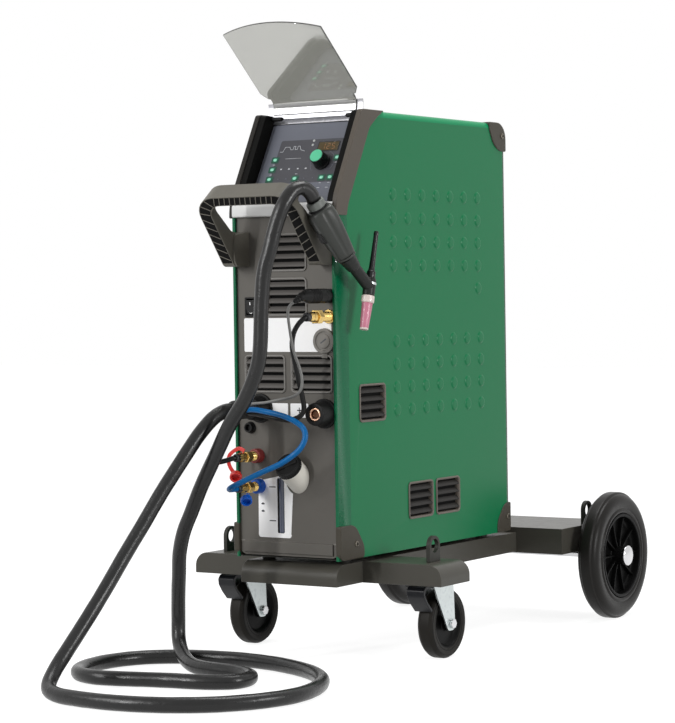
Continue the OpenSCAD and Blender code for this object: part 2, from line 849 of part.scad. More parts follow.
module push_handle() {
  n = [sin(handle_tilt), cos(handle_tilt)];
  d = [-cos(handle_tilt), sin(handle_tilt)];
  front = [0, handle_plane_z] + handle_v * d;
  low = foot_z0;
  low_y = -(low - handle_plane_z) / tan(handle_tilt);
  grip_top = front + grip_h * n;
  back_low = front - (grip_d + 6) * d + 14 * n;
  side = [[panel_face, low], [low_y, low], front + 2 * d, grip_top + 2 * d, grip_top - (grip_d + 2) * d,
          back_low, [-42, foot_z1], [panel_face, foot_z1]];
  color([0.35, 0.33, 0.3]) at_front()
    difference() {
      union() {
        intersection() {
          on_loop()
            handle_loop(grip_h);
          across(-handle_half, handle_half)
            polygon(rounded(side, [0, 14, 0, 0, 4, 6, 16, 0]));
        }
        // feet that stand on the front panel
        both_sides()
          across(handle_half - arm_w - 4, handle_half)
            polygon(rounded([[panel_face, low], [low_y - 2, low], [-40, low + 22], [-38, foot_z1 - 6],
                             [panel_face, foot_z1]], [0, 12, 6, 6, 0]));
      }
      // pockets between the ribs on the lower face
      on_loop() {
        for (x = [-66:11:66])
          block([x - 4, handle_v - grip_d + 3, -1], [x + 4, handle_v - 3, grip_h - 12]);
        both_sides()
          for (v = [76:16:150])
            block([handle_half - arm_w + 3, v, -30], [handle_half - 3, v + 12, 8]);
      }
    }
}

// ---------- plates and sockets on the front ----------

module label_plates() {
  p = panel_face;
  color("white") at_front() {
    difference() {
      along(p - 0.8, p)
        polygon(rounded(box_pts(-89, 552, 97, 612), [3, 3, 3, 3]));
      on_face(cover_xz)
        cylinder(h = 4, r = 22.5);
      on_face(gas_xz)
        cylinder(h = 4, r = 14);
    }
    along(p - 0.8, p)
      polygon(rounded(box_pts(-33, 438, 3, 461), [2, 2, 2, 2]));
    difference() {
      along(p - 0.8, p)
        polygon(rounded(box_pts(8, 436, 46, 461), [2, 2, 2, 2]));
      on_face([27, 448.5])
        cylinder(h = 4, r = 0.5);
    }
    difference() {
      along(p - 0.8, p)
        polygon(rounded(box_pts(level_x[0], level_z[0], level_x[1], level_z[1]), [6, 6, 4, 4]));
      block([slot_x[0], p - 3, slot_z[0]], [slot_x[1], p + 3, slot_z[1]]);
      at_neck()
        translate([0, 0, -20])
          cylinder(h = 60, r = neck_r + 2);
      on_face(blue_xz)
        cylinder(h = 4, r = 14.5);
    }
  }
}

// Round black pieces: power sockets, covers, gland, rocker frame
module panel_sockets() {
  color([0.08, 0.08, 0.08]) at_front() {
    // plus socket with its brass bush
    on_face(plus_xz)
      difference() {
        union() {
          cylinder(h = 5, r = socket_r + 4);
          cylinder(h = socket_front, r1 = socket_r, r2 = socket_r - 3);
        }
        translate([0, 0, 4])
          cylinder(h = socket_front, r = 10 + run_gap);
      }
    // minus socket, which the torch plug sits in
    on_face(minus_xz)
      difference() {
        cylinder(h = socket_front, r1 = socket_r, r2 = socket_r - 3);
        translate([0, 0, 4])
          cylinder(h = socket_front, r = 9 + run_gap);
      }
    // control socket
    on_face(control_xz)
      difference() {
        cylinder(h = 12, r = 10.5);
        translate([0, 0, 4])
          cylinder(h = 12, r = 9 + run_gap);
      }
    // covered remote socket
    on_face(cover_xz) {
      difference() {
        cylinder(h = 6, r = 22);
        translate([0, 0, 4])
          cylinder(h = 6, r = 16);
      }
      translate([0, 0, 3.9])
        cylinder(h = 1.5, r = 12);
    }
    // small service socket
    on_face(small_xz)
      difference() {
        cylinder(h = 10, r = 9);
        translate([0, 0, 5])
          cylinder(h = 10, r = 5);
      }
    // rocker frame
    difference() {
      block([rocker_xz[0] - 12, panel_face - 2.5, rocker_xz[1] - 17.5],
            [rocker_xz[0] + 12, panel_face, rocker_xz[1] + 17.5]);
      block([rocker_xz[0] - 9, panel_face - 5, rocker_xz[1] - 14.5],
            [rocker_xz[0] + 9, panel_face + 5, rocker_xz[1] + 14.5]);
    }
    difference() {
      block([rocker_xz[0] - 10, panel_face, rocker_xz[1] - 15.5],
            [rocker_xz[0] + 10, panel_face + 22, rocker_xz[1] + 15.5]);
      block([rocker_xz[0] - 9, panel_face - 5, rocker_xz[1] - 14.5],
            [rocker_xz[0] + 9, panel_face + 19, rocker_xz[1] + 14.5]);
    }
    // mains gland on the rear panel
    translate([60, casing_d - rear_in, 320])
      rotate([-90, 0, 0])
        difference() {
          cylinder(h = 28, r1 = 18, r2 = 14);
          translate([0, 0, 2])
            cylinder(h = 30, r = 7);
        }
  }
}

module coupling(r, len, hex) {
  cylinder(h = len - 18, r = r);
  translate([0, 0, len - 34])
    cylinder(h = 14, r = hex, $fn = 6);
  translate([0, 0, len - 18 - eps])
    cylinder(h = 18 + eps, r1 = r, r2 = r - 2.5);
}

module brass_couplings() {
  color("goldenrod") at_front() {
    for (p = [red_xz, blue_xz])
      on_face(p) {
        coupling(8.5, coupling_front + panel_face, 10);
        cylinder(h = 16, r = 13);
      }
    on_face(gas_xz)
      coupling(9, coupling_front + panel_face + 4, 13);
    on_face(plus_xz)
      translate([0, 0, 4])
        difference() {
          cylinder(h = socket_front - 5, r = 10);
          translate([0, 0, 6])
            cylinder(h = socket_front, r = 6.5);
        }
    // gas inlet on the rear panel
    translate([-60, casing_d - rear_in, 320])
      rotate([-90, 0, 0]) {
        cylinder(h = 10, r = 11, $fn = 6);
        cylinder(h = 30, r = 5);
      }
  }
}

module mains_rocker() {
  tilt = 10;
  color([0.15, 0.15, 0.16]) at_front()
    translate([rocker_xz[0], panel_face + 5, rocker_xz[1]])
      rotate([tilt, 0, 0]) {
        across(-8.7, 8.7)
          polygon([[-6.5, -13.2], [-8.5, 0], [-6.5, 13.2], [4, 13], [4, -13]]);
        rod_x(-8.9, 8.9, 0, 0, 2);
      }
}

// ---------- cooling ----------

module coolant_tank() {
  front = panel_back + 1;
  color("ivory") at_front() {
    difference() {
      union() {
        block([-96, front, casing_bottom + 6], [96, front + 160, casing_bottom + 176]);
        at_neck()
          translate([0, 0, -28])
            cylinder(h = 28 + neck_len, r = neck_r);
      }
      block([-93, front + 3, casing_bottom + 9], [93, front + 157, casing_bottom + 173]);
      at_neck()
        translate([0, 0, -32])
          cylinder(h = 44 + neck_len, r = neck_r - 3);
    }
    for (x = [-70, 70], y = [front + 30, front + 130])
      translate([x, y, casing_bottom + 2])
        cylinder(h = 4 + eps, r = 8);
    // sight strip behind the level slot
    block([slot_x[0] + slip, panel_face + 1, slot_z[0] + slip], [slot_x[1] - slip, front + eps, slot_z[1] - slip]);
  }
}

module filler_cap() {
  grips = 16;
  color([0.07, 0.07, 0.07]) at_front() at_neck() {
    difference() {
      translate([0, 0, neck_len + slip])
        cylinder(h = cap_h, r = cap_r);
      for (i = [0:grips - 1])
        rotate([0, 0, 360 * i / grips])
          translate([cap_r + 0.8, 0, neck_len - 2])
            cylinder(h = cap_h + 5, r = 2, $fn = 16);
      translate([0, 0, neck_len + cap_h - 2])
        cylinder(h = 5, r = cap_r - 5);
    }
    // plug that enters the neck
    translate([0, 0, neck_len - 8])
      cylinder(h = 8 + slip + eps, r = neck_r - 3 - run_gap);
  }
}

module coolant_pump() {
  z = casing_bottom + 45;
  color("slategray") at_front() {
    block([-40, 230, casing_bottom + 2], [40, 330, casing_bottom + 8]);
    translate([0, 230, z])
      rotate([-90, 0, 0])
        cylinder(h = 70, r = 34);
    translate([0, 300 - eps, z])
      rotate([-90, 0, 0])
        cylinder(h = 40, r = 24);
    block([-14, 240, casing_bottom + 8 - eps], [14, 320, z - 20]);
    translate([0, 320, z])
      cylinder(h = 60, r = 8);
  }
}

module radiator() {
  y = 440;
  z0 = casing_bottom + 2;
  fins = 12;
  color("darkgray") at_front()
    difference() {
      block([-94, y, z0], [94, y + 44, z0 + 230]);
      for (i = [0:fins - 1])
        block([-84, y - 1, z0 + 14 + i * 17], [84, y + 16, z0 + 24 + i * 17]);
    }
}

module power_inverter() {
  fins = 9;
  color("silver") at_front() {
    difference() {
      block([-80, 70, shelf_z + 2], [80, 350, shelf_z + 110]);
      for (i = [0:fins - 1])
        block([-72 + i * 17, 69, shelf_z + 14], [-63 + i * 17, 351, shelf_z + 90]);
    }
    for (x = [-46, 0, 46], y = [110, 200, 290])
      block([x - 18, y - 25, shelf_z + 110], [x + 18, y + 25, shelf_z + 128]);
  }
}

module transformer() {
  color("peru") at_front() {
    difference() {
      block([-62, 390, shelf_z + 2], [62, 480, shelf_z + 112]);
      for (x = [-32, 32])
        block([x - 16, 389, shelf_z + 22], [x + 16, 481, shelf_z + 92]);
    }
    block([-13, 376, shelf_z + 24], [13, 390, shelf_z + 90]);
    block([-13, 480, shelf_z + 24], [13, 494, shelf_z + 90]);
  }
}

// Motor on a cross bracket, with the shaft that carries the fan
module fan_motor() {
  wall = casing_d - rear_in - rear_t;
  color("dimgray") at_front() {
    translate([0, fan_y - 52, fan_z])
      rotate([-90, 0, 0])
        cylinder(h = 38, r = 32);
    translate([0, fan_y - 15, fan_z])
      rotate([-90, 0, 0])
        cylinder(h = 32, r = 4);
    for (s = [-1, 1]) {
      block([s * 90 - 8, fan_y - 40, fan_z - 6], [s * 90 + 8, wall, fan_z + 6]);
      block([min(s * 30, s * 96), fan_y - 40, fan_z - 6], [max(s * 30, s * 96), fan_y - 36, fan_z + 6]);
    }
  }
}

module cooling_fan() {
  hub_r = 24;
  tip_r = fan_r - 9;
  color([0.2, 0.2, 0.22]) at_front()
    translate([0, fan_y, fan_z])
      rotate([-90, 0, 0])
        difference() {
          union() {
            translate([0, 0, -8])
              cylinder(h = 22, r = hub_r);
            for (i = [0:fan_blades - 1])
              rotate([0, 0, 360 * i / fan_blades])
                translate([hub_r - 2, 0, 3])
                  rotate([32, 0, 0])
                    translate([0, -16, -1])
                      cube([tip_r - hub_r, 32, 2]);
          }
          translate([0, 0, -10])
            cylinder(h = 40, r = 4 + run_gap);
        }
}

// ---------- trolley ----------

// Cross-section of the wings, from end to end; an inset outline runs out below
module wing_outline(inset) {
  h = wing_half - inset;
  low = deck_top - deck_h - inset / 3;
  polygon(rounded([[-h, low], [-h, deck_top - inset], [h, deck_top - inset], [h, low]],
                  [0, fold_r - inset, fold_r - inset, 0], 10));
}

module tongue_outline(inset) {
  low = deck_top - deck_h - inset / 3;
  top = deck_top - inset;
  polygon(rounded([[2 + inset, low], [2 + inset, top], [platform_y, top], [platform_y, low]],
                  [0, fold_r - inset, 0, 0], 10));
}

module front_deck() {
  color([0.42, 0.41, 0.38]) at_front()
    difference() {
      union() {
        along(wing_y, wing_y + wing_d)
          wing_outline(0);
        across(-deck_half, deck_half)
          tongue_outline(0);
      }
      along(wing_y + deck_t, wing_y + wing_d - deck_t)
        wing_outline(deck_t);
      across(-deck_half + deck_t, deck_half - deck_t)
        tongue_outline(deck_t);
    }
}

module rear_platform() {
  back = platform_y + platform_d;
  low = platform_top - platform_h;
  color([0.42, 0.41, 0.38]) at_front()
    difference() {
      union() {
        block([-platform_half, platform_y, platform_top - deck_t], [platform_half, back, platform_top]);
        block([-platform_half, platform_y, low], [platform_half, platform_y + deck_t, platform_top - deck_t + eps]);
        block([-platform_half, back - deck_t, low + 20], [platform_half, back, platform_top - deck_t + eps]);
        both_sides()
          across(platform_half - deck_t, platform_half)
            polygon(rounded([[platform_y, low], [wheel_y - 40, low], [wheel_y - 22, wheel_r - 18],
                             [wheel_y + 22, wheel_r - 18], [wheel_y + 40, low], [back, low + 20],
                             [back, platform_top - deck_t + eps], [platform_y, platform_top - deck_t + eps]],
                            [0, 10, 10, 10, 10, 0, 0, 0]));
      }
      rod_x(-platform_half - 5, platform_half + 5, wheel_y, wheel_r, axle_d / 2 + run_gap);
    }
}

module eye(x, y, z) {
  color([0.25, 0.25, 0.24]) at_front()
    difference() {
      across(x - eye_t / 2, x + eye_t / 2)
        polygon(rounded([[y - eye_w / 2, z], [y - eye_w / 2, z + eye_h], [y + eye_w / 2, z + eye_h],
                         [y + eye_w / 2, z]], [0, eye_w / 2 - 0.1, eye_w / 2 - 0.1, 0]));
      rod_x(x - eye_t, x + eye_t, y, z + eye_h - eye_w / 2, eye_hole_d / 2);
    }
}

module lifting_eyes() {
  for (s = [-1, 1]) {
    eye(s * eye_x, eye_y, deck_top);
    eye(s * rear_eye_x, rear_eye_y, platform_top);
  }
}

module rear_axle() {
  cap_x = wheel_x + tyre_w / 2 + 7;
  color("silver") at_front() {
    rod_x(-cap_x, cap_x, wheel_y, wheel_r, axle_d / 2);
    both_sides()
      translate([cap_x - eps, wheel_y, wheel_r])
        rotate([0, 90, 0]) {
          cylinder(h = 5, r = 20);
          translate([0, 0, 5 - eps])
            cylinder(h = 3, r1 = 19, r2 = 13);
        }
  }
}

// Tyre profile: flat tread with round shoulders
module rear_tyre(s) {
  w = tyre_w / 2;
  in_r = rim_d / 2;
  pts = [[in_r, -w + 5], [in_r + 10, -w], [wheel_r - 8, -w], [wheel_r, -w + 12],
         [wheel_r, w - 12], [wheel_r - 8, w], [in_r + 10, w], [in_r, w - 5]];
  color([0.1, 0.1, 0.1]) at_front()
    translate([s * wheel_x, wheel_y, wheel_r])
      rotate([0, 90, 0])
        rotate_extrude($fn = 96)
          polygon(rounded(pts, [0, 6, 10, 9, 9, 10, 6, 0], 4));
}

module rear_rim(s) {
  r = rim_d / 2;
  w = tyre_w / 2;
  color([0.06, 0.06, 0.07]) at_front()
    translate([s * wheel_x, wheel_y, wheel_r])
      rotate([0, 90, 0])
        difference() {
          union() {
            cylinder(h = 2 * (w + 4), r = 18, center = true);
            cylinder(h = 6, r = r - 4, center = true);
            difference() {
              cylinder(h = 2 * (w - 1), r = r, center = true);
              cylinder(h = 2 * w + 2, r = r - 7, center = true);
            }
            for (i = [0:rim_ribs - 1])
              rotate([0, 0, 360 * i / rim_ribs])
                block([16, -1.5, -w + 10], [r - 6, 1.5, w - 10]);
          }
          cylinder(h = 2 * tyre_w, r = axle_d / 2 + run_gap, center = true);
        }
}

// ---------- casters ----------

module at_caster(s) {
  translate([s * caster_x, front_y + caster_y, 0])
    children();
}

module caster_plates() {
  color("silver")
    for (s = [-1, 1])
      at_caster(s) {
        block([-35, -45, caster_top - 4], [35, 34, caster_top]);
        translate([0, 0, fork_top - 4])
          cylinder(h = caster_top - fork_top + 3, d = kingpin_d);
        translate([0, 0, fork_top - 6])
          cylinder(h = 2 + eps, r = 10);
      }
}

// The upper part of the fork stays inside the deck flanges at every angle
module caster_fork(s) {
  leg_x = caster_w / 2 + 2;
  y = caster_trail;
  z = caster_r;
  leg = [[-24, fork_top - eps], [-24, deck_top - deck_h - 2], [y - 12, z - 12], [y + 12, z - 12],
         [y + 8, deck_top - deck_h - 8], [24, deck_top - deck_h - 3], [24, fork_top - eps]];
  color("lightsteelblue") at_caster(s) {
    difference() {
      union() {
        translate([0, 0, fork_top - fork_t])
          linear_extrude(fork_t)
            polygon(rounded(box_pts(-leg_x - fork_t, -24, leg_x + fork_t, 24), [8, 8, 8, 8]));
        translate([0, 0, fork_top - eps])
          cylinder(h = 9, r = 27);
        both_sides()
          across(leg_x, leg_x + fork_t)
            polygon(rounded(leg, [0, 8, 10, 10, 6, 6, 0]));
      }
      translate([0, 0, fork_top - fork_t - 1])
        cylinder(h = 20, r = kingpin_d / 2 + run_gap);
      rod_x(-40, 40, pedal_y, pedal_z, 3 + run_gap);
    }
    // wheel bolt with its head and nut
    rod_x(-leg_x - fork_t - 5, leg_x + fork_t + 5, caster_trail, caster_r, caster_bolt_d / 2);
    for (m = [-1, 1])
      rod_x(m > 0 ? leg_x + fork_t : -leg_x - fork_t - 5, m > 0 ? leg_x + fork_t + 5 : -leg_x - fork_t,
            caster_trail, caster_r, 8.5, $fn = 6);
  }
}

module caster_wheel(s) {
  w = caster_w / 2;
  r = caster_r;
  tread = [[r - 20, -w + 1], [r - 4, -w], [r, -w + 6], [r, w - 6], [r - 4, w], [r - 20, w - 1]];
  color([0.12, 0.12, 0.12]) at_caster(s)
    translate([0, caster_trail, r])
      rotate([0, 90, 0]) {
        rotate_extrude($fn = 72)
          polygon(rounded(tread, [0, 6, 6, 6, 6, 0], 4));
        difference() {
          union() {
            cylinder(h = 2 * w - 12, r = r - 20, center = true);
            cylinder(h = 2 * w + 2, r = 13, center = true);
          }
          cylinder(h = 4 * w, r = caster_bolt_d / 2 + run_gap, center = true);
        }
      }
}

// Brake pedal: hood in front of the tread, hinged between the fork legs
module brake_pedal(s) {
  leg = caster_w / 2 + 2 - slip;
  hood = [[-9, 141.5], [-25, 138], [-46, 136.5], [-53, 129], [-51, 118], [-41, 104.5], [-25, 89],
          [-22, 93.5], [-37.5, 107.5], [-46.5, 120], [-47, 127], [-42, 131.5], [-25, 132], [-9, 130.5]];
  color([0.13, 0.13, 0.15]) at_caster(s) {
    across(-leg, leg) {
      polygon(rounded(hood, [0, 0, 7, 5, 10, 0, 1, 1, 0, 8, 3, 4, 0, 0], 4));
      translate([pedal_y, pedal_z])
        circle(6);
    }
    // pin through both fork legs
    rod_x(-leg - fork_t - 2, leg + fork_t + 2, pedal_y, pedal_z, 3);
  }
}

// ---------- torch ----------

module on_torch() {
  aim(torch_at, torch_axis)
    children();
}

module torch_handle() {
  r = torch_d / 2;
  l = torch_len;
  pts = [[0, 0], [15.5, 0], [16.5, 1.5], [16.5, 13], [15, 14], [15, 16.5], [17.5, 17.5], [r - 1, 36], [r, 52],
         [r - 1.5, 90], [r - 3.5, l - 3], [r - 6, l], [0, l]];
  color([0.25, 0.27, 0.25]) at_front() on_torch() {
    difference() {
      rotate_extrude()
        polygon(pts);
      block([r - 9, -6.5, 40], [r + 10, 6.5, 76]);
    }
    trigger_pin(1.5, 15);
  }
}

module trigger_pin(r, len) {
  translate([torch_d / 2 - 4, 0, 44])
    rotate([90, 0, 0])
      cylinder(h = len, r = r, center = true);
}

module torch_trigger() {
  r = torch_d / 2;
  color([0.1, 0.1, 0.1]) at_front() on_torch()
    difference() {
      union() {
        block([r - 6, -6.2, 40.5], [r + 1, 6.2, 75]);
        translate([r - 5.5, 0, 62])
          rotate([90, 0, 0])
            cylinder(h = 12.4, r = 8.5, center = true);
      }
      translate([r - 40, -20, 20])
        cube([33, 40, 80]);
      trigger_pin(1.5 + run_gap, 40);
    }
}

module torch_neck() {
  neck_r0 = 13;
  dir = unit(torch_head - torch_end);
  far = norm(torch_head - torch_end);
  color([0.13, 0.14, 0.13]) at_front() {
    difference() {
      aim(torch_end, dir)
        translate([0, 0, -4])
          cylinder(h = far + 4, r1 = neck_r0 + 2, r2 = neck_r0 - 3);
      on_torch()
        block([-40, -40, torch_len - 40], [40, 40, torch_len]);
    }
    aim(torch_head, torch_tip_axis)
      translate([0, 0, -17])
        cylinder(h = 32, r = 11);
    // collet and electrode
    aim(torch_head, torch_tip_axis) {
      translate([0, 0, 14])
        cylinder(h = 22, r = 5);
      translate([0, 0, 35])
        cylinder(h = 38, r = 1.2, $fn = 24);
    }
  }
}

module torch_back_cap() {
  color([0.09, 0.09, 0.09]) at_front()
    aim(torch_head, -torch_tip_axis) {
      translate([0, 0, 17 + run_gap])
        cylinder(h = 12, r = 8);
      translate([0, 0, 29])
        cylinder(h = 72, r1 = 6.5, r2 = 3.8);
    }
}

module torch_nozzle() {
  color("lightpink") at_front()
    aim(torch_head, torch_tip_axis)
      rotate_extrude()
        polygon([[5 + run_gap, 15 + run_gap], [11.5, 15 + run_gap], [11.5, 30], [9, 32], [8.5, 40], [7, 76], [5.2, 76],
                 [6, 40], [5 + run_gap, 34]]);
}

// ---------- hoses and plugs ----------

module hose_package() {
  color([0.1, 0.1, 0.1]) at_front()
    tube(hose_route, hose_d);
}

module blue_hose() {
  color("royalblue") at_front()
    tube(blue_route, coolant_d, 2, 8);
}

module red_hose() {
  color([0.12, 0.1, 0.1]) at_front()
    tube(red_route, coolant_d - 1, 2, 8);
}

module gas_hose() {
  color([0.08, 0.08, 0.08]) at_front()
    tube(gas_route, gas_d, 2, 8);
}

module control_cable() {
  color("gray") at_front()
    tube(cable_route, cable_d, 2, 8);
}

// Torch plug: shank in the minus socket, body, and boot that the hoses leave from
module torch_plug() {
  shank = socket_front - 6;
  color([0.1, 0.1, 0.1]) at_front()
    on_face(minus_xz) {
      translate([0, 0, socket_front - shank])
        cylinder(h = shank + 1, r = 9);
      translate([0, 0, socket_front + slip])
        cylinder(h = plug_front + panel_face - socket_front - slip, r = plug_r);
    }
}

module control_plug() {
  tail = cable_route[0];
  elbow = [control_xz[0], -82, control_xz[1]];
  color([0.09, 0.09, 0.09]) at_front() {
    on_face(control_xz) {
      translate([0, 0, 5])
        cylinder(h = 10, r = 9);
      translate([0, 0, 12 + slip])
        cylinder(h = control_plug_len, r = 13);
      translate([0, 0, control_plug_len + 10])
        cylinder(h = 12, r1 = 12, r2 = 7.6);
    }
    translate(elbow)
      sphere(r = 9);
    aim(elbow, unit(tail - elbow))
      cylinder(h = norm(tail - elbow), r1 = 7.2, r2 = 4.5);
  }
}

echo(hose_self_gap = self_gap(smooth(hose_route, 1), 4));

front_deck();
rear_platform();
lifting_eyes();
rear_axle();
caster_plates();
inner_chassis();
casing_cover();
front_panel();
rear_panel();
control_hood();
hood_trims();
control_foil();
corner_brackets();
casing_screws();
louvre_grilles();
push_handle();
label_plates();
panel_sockets();
brass_couplings();
coolant_tank();
radiator();
coolant_pump();
power_inverter();
transformer();
control_board();
fan_motor();
visor();
current_knob();
mains_rocker();
filler_cap();
cooling_fan();
key(0);  // key_1
key(1);  // key_2
key(2);  // key_3
key(3);  // key_4
key(4);  // key_5
key(5);  // key_6
key(6);  // key_7
caster_fork(-1);  // caster_fork_left
caster_fork(1);  // caster_fork_right
caster_wheel(-1);  // caster_wheel_left
caster_wheel(1);  // caster_wheel_right
brake_pedal(-1);  // brake_pedal_left
brake_pedal(1);  // brake_pedal_right
rear_tyre(-1);  // rear_tyre_left
rear_tyre(1);  // rear_tyre_right
rear_rim(-1);  // rear_rim_left
rear_rim(1);  // rear_rim_right
torch_handle();
torch_trigger();
torch_neck();
torch_back_cap();
torch_nozzle();
hose_package();
blue_hose();
red_hose();
gas_hose();
control_cable();
torch_plug();
control_plug();
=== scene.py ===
import json
import math
import bpy
import bmesh
from mathutils import Matrix, Vector, geometry, noise


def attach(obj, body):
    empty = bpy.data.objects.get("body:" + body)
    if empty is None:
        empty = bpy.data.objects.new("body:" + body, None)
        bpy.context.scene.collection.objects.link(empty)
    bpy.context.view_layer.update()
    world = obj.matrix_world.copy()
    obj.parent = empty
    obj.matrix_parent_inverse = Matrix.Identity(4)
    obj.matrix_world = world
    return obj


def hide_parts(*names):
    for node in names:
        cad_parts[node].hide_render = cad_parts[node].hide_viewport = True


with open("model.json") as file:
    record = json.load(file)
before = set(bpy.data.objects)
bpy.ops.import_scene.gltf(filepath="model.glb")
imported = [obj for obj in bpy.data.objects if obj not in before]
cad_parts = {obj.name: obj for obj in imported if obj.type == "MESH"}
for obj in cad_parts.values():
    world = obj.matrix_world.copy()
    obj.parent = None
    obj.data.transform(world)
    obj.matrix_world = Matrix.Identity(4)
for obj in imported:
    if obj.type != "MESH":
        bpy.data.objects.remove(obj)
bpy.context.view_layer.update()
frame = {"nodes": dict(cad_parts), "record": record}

MM = 0.001
FY = -402.0            # y of the casing front in the frame, mm
pi = math.pi


def P(x, y, z):
    """A point measured from the casing front, in mm, as a frame point in metres."""
    return Vector((x, y + FY, z)) * MM


def V(p):
    return P(*p)


def collection():
    return bpy.context.scene.collection


# ------------------------------------------------------------------ camera
# The photograph's frame is 675 x 723, and these were fitted to it.
IMG_W, IMG_H = 675, 723
FOCAL_PX = 2427.9
CENTRE_PX = (329.87, 321.49)
YAW, PITCH, ROLL = (math.radians(a) for a in (33.059, -0.674, -0.857))
EYE = P(2407.6, -3549.4, 655.1)

fwd = Vector((-math.sin(YAW) * math.cos(PITCH), math.cos(YAW) * math.cos(PITCH), math.sin(PITCH)))
right0 = Vector((math.cos(YAW), math.sin(YAW), 0))
up0 = right0.cross(fwd)
right = right0 * math.cos(ROLL) + up0 * math.sin(ROLL)
up = -right0 * math.sin(ROLL) + up0 * math.cos(ROLL)

cam_data = bpy.data.cameras.new("camera")
cam = bpy.data.objects.new("camera", cam_data)
collection().objects.link(cam)
cam_data.lens = FOCAL_PX * 36.0 / IMG_H
cam_data.sensor_width = 36.0
cam_data.sensor_fit = "AUTO"
cam_data.shift_x = (IMG_W / 2 - CENTRE_PX[0]) / IMG_H
cam_data.shift_y = (CENTRE_PX[1] - IMG_H / 2) / IMG_H
cam_data.clip_end = 60
m = Matrix((right, up, -fwd)).transposed().to_4x4()
m.translation = EYE
cam.matrix_world = m
bpy.context.scene.camera = cam


# ------------------------------------------------------------------ materials
class Nodes:
    """A material's node tree with short calls to add nodes and links."""

    def __init__(self, name):
        self.m = bpy.data.materials.new(name)
        self.m.use_nodes = True
        self.t = self.m.node_tree
        self.t.nodes.clear()
        self.out = self.t.nodes.new("ShaderNodeOutputMaterial")
        self.b = self.t.nodes.new("ShaderNodeBsdfPrincipled")
        self.t.links.new(self.b.outputs[0], self.out.inputs[0])
        self.co = self.t.nodes.new("ShaderNodeTexCoord").outputs["Object"]

    def link(self, a, b):
        self.t.links.new(a, b)

    def node(self, kind, **props):
        n = self.t.nodes.new(kind)
        for k, v in props.items():
            setattr(n, k, v)
        return n

    def noise(self, scale, detail=3.0, rough=0.5, stretch=None, distort=0.0):
        n = self.node("ShaderNodeTexNoise")
        n.inputs["Scale"].default_value = scale
        n.inputs["Detail"].default_value = detail
        n.inputs["Roughness"].default_value = rough
        n.inputs["Distortion"].default_value = distort
        self.link(self.mapped(stretch), n.inputs["Vector"])
        return n.outputs["Fac"]

    def mapped(self, stretch):
        if not stretch:
            return self.co
        mp = self.node("ShaderNodeMapping")
        mp.inputs["Scale"].default_value = stretch
        self.link(self.co, mp.inputs["Vector"])
        return mp.outputs[0]

    def range(self, fac, lo, hi, a=0.0, b=1.0):
        r = self.node("ShaderNodeMapRange")
        for k, v in (("From Min", a), ("From Max", b), ("To Min", lo), ("To Max", hi)):
            r.inputs[k].default_value = v
        self.link(fac, r.inputs["Value"])
        return r.outputs[0]

    def math(self, op, a, b=0.0):
        n = self.node("ShaderNodeMath", operation=op)
        for i, v in enumerate((a, b)):
            if isinstance(v, (int, float)):
                n.inputs[i].default_value = v
            else:
                self.link(v, n.inputs[i])
        return n.outputs[0]

    def mix(self, fac, a, b):
        n = self.node("ShaderNodeMix", data_type="RGBA")
        for i, v in ((0, fac), (6, a), (7, b)):
            if isinstance(v, (int, float)):
                n.inputs[i].default_value = v
            elif isinstance(v, tuple):
                n.inputs[i].default_value = (*v, 1) if len(v) == 3 else v
            else:
                self.link(v, n.inputs[i])
        return n.outputs[2]

    def bump(self, height, distance, after=None):
        n = self.node("ShaderNodeBump")
        n.inputs["Distance"].default_value = distance
        self.link(height, n.inputs["Height"])
        if after is not None:
            self.link(after, n.inputs["Normal"])
        return n.outputs[0]

    def set(self, **kw):
        names = {"color": "Base Color", "rough": "Roughness", "metal": "Metallic", "normal": "Normal",
                 "coat": "Coat Weight", "coat_rough": "Coat Roughness", "spec": "Specular IOR Level",
                 "ior": "IOR", "trans": "Transmission Weight", "emit": "Emission Color",
                 "emit_level": "Emission Strength"}
        for k, v in kw.items():
            s = self.b.inputs[names[k]]
            if isinstance(v, (int, float)):
                s.default_value = v
            elif isinstance(v, tuple):
                s.default_value = (*v, 1) if len(v) == 3 else v
            else:
                self.link(v, s)
        return self.m


def shade(c, k):
    return tuple(min(1.0, v * k) for v in c)


def srgb(r, g, b):
    """Linear colour of an sRGB 0-255 triple."""
    f = lambda v: (v / 255) / 12.92 if v <= 10 else ((v / 255 + 0.055) / 1.055) ** 2.4
    return (f(r), f(g), f(b))


def paint(name, rgb, rough=0.42, grain=1300, depth=0.00006, coat=0.0, drift=0.04, dust=0.12, spec=0.2):
    """Powder coat: soft colour drift, orange peel and a little dust."""
    n, c = Nodes(name), srgb(*rgb)
    col = n.mix(n.noise(5, 2), shade(c, 1 - drift), shade(c, 1 + drift))
    specks = n.range(n.noise(55, 5, 0.6), 0, dust, 0.5, 0.78)
    col = n.mix(specks, col, shade(c, 1.3))
    peel = n.bump(n.noise(grain, 2), depth)
    r = n.range(n.noise(60, 4), rough - 0.04, rough + 0.07)
    return n.set(color=col, rough=r, normal=peel, coat=coat, coat_rough=0.1, spec=spec)


def plastic(name, rgb, rough=0.45, grain=2500, depth=0.00004, drift=0.08, spec=0.5, coat=0.0):
    """Moulded plastic: fine grain and a slightly uneven gloss."""
    n, c = Nodes(name), srgb(*rgb)
    col = n.mix(n.noise(30, 3), shade(c, 1 - drift), shade(c, 1 + drift))
    r = n.range(n.noise(90, 4), rough - 0.06, rough + 0.08)
    grained = n.bump(n.noise(grain, 2), depth)
    return n.set(color=col, rough=r, normal=grained, spec=spec, coat=coat, coat_rough=0.08)


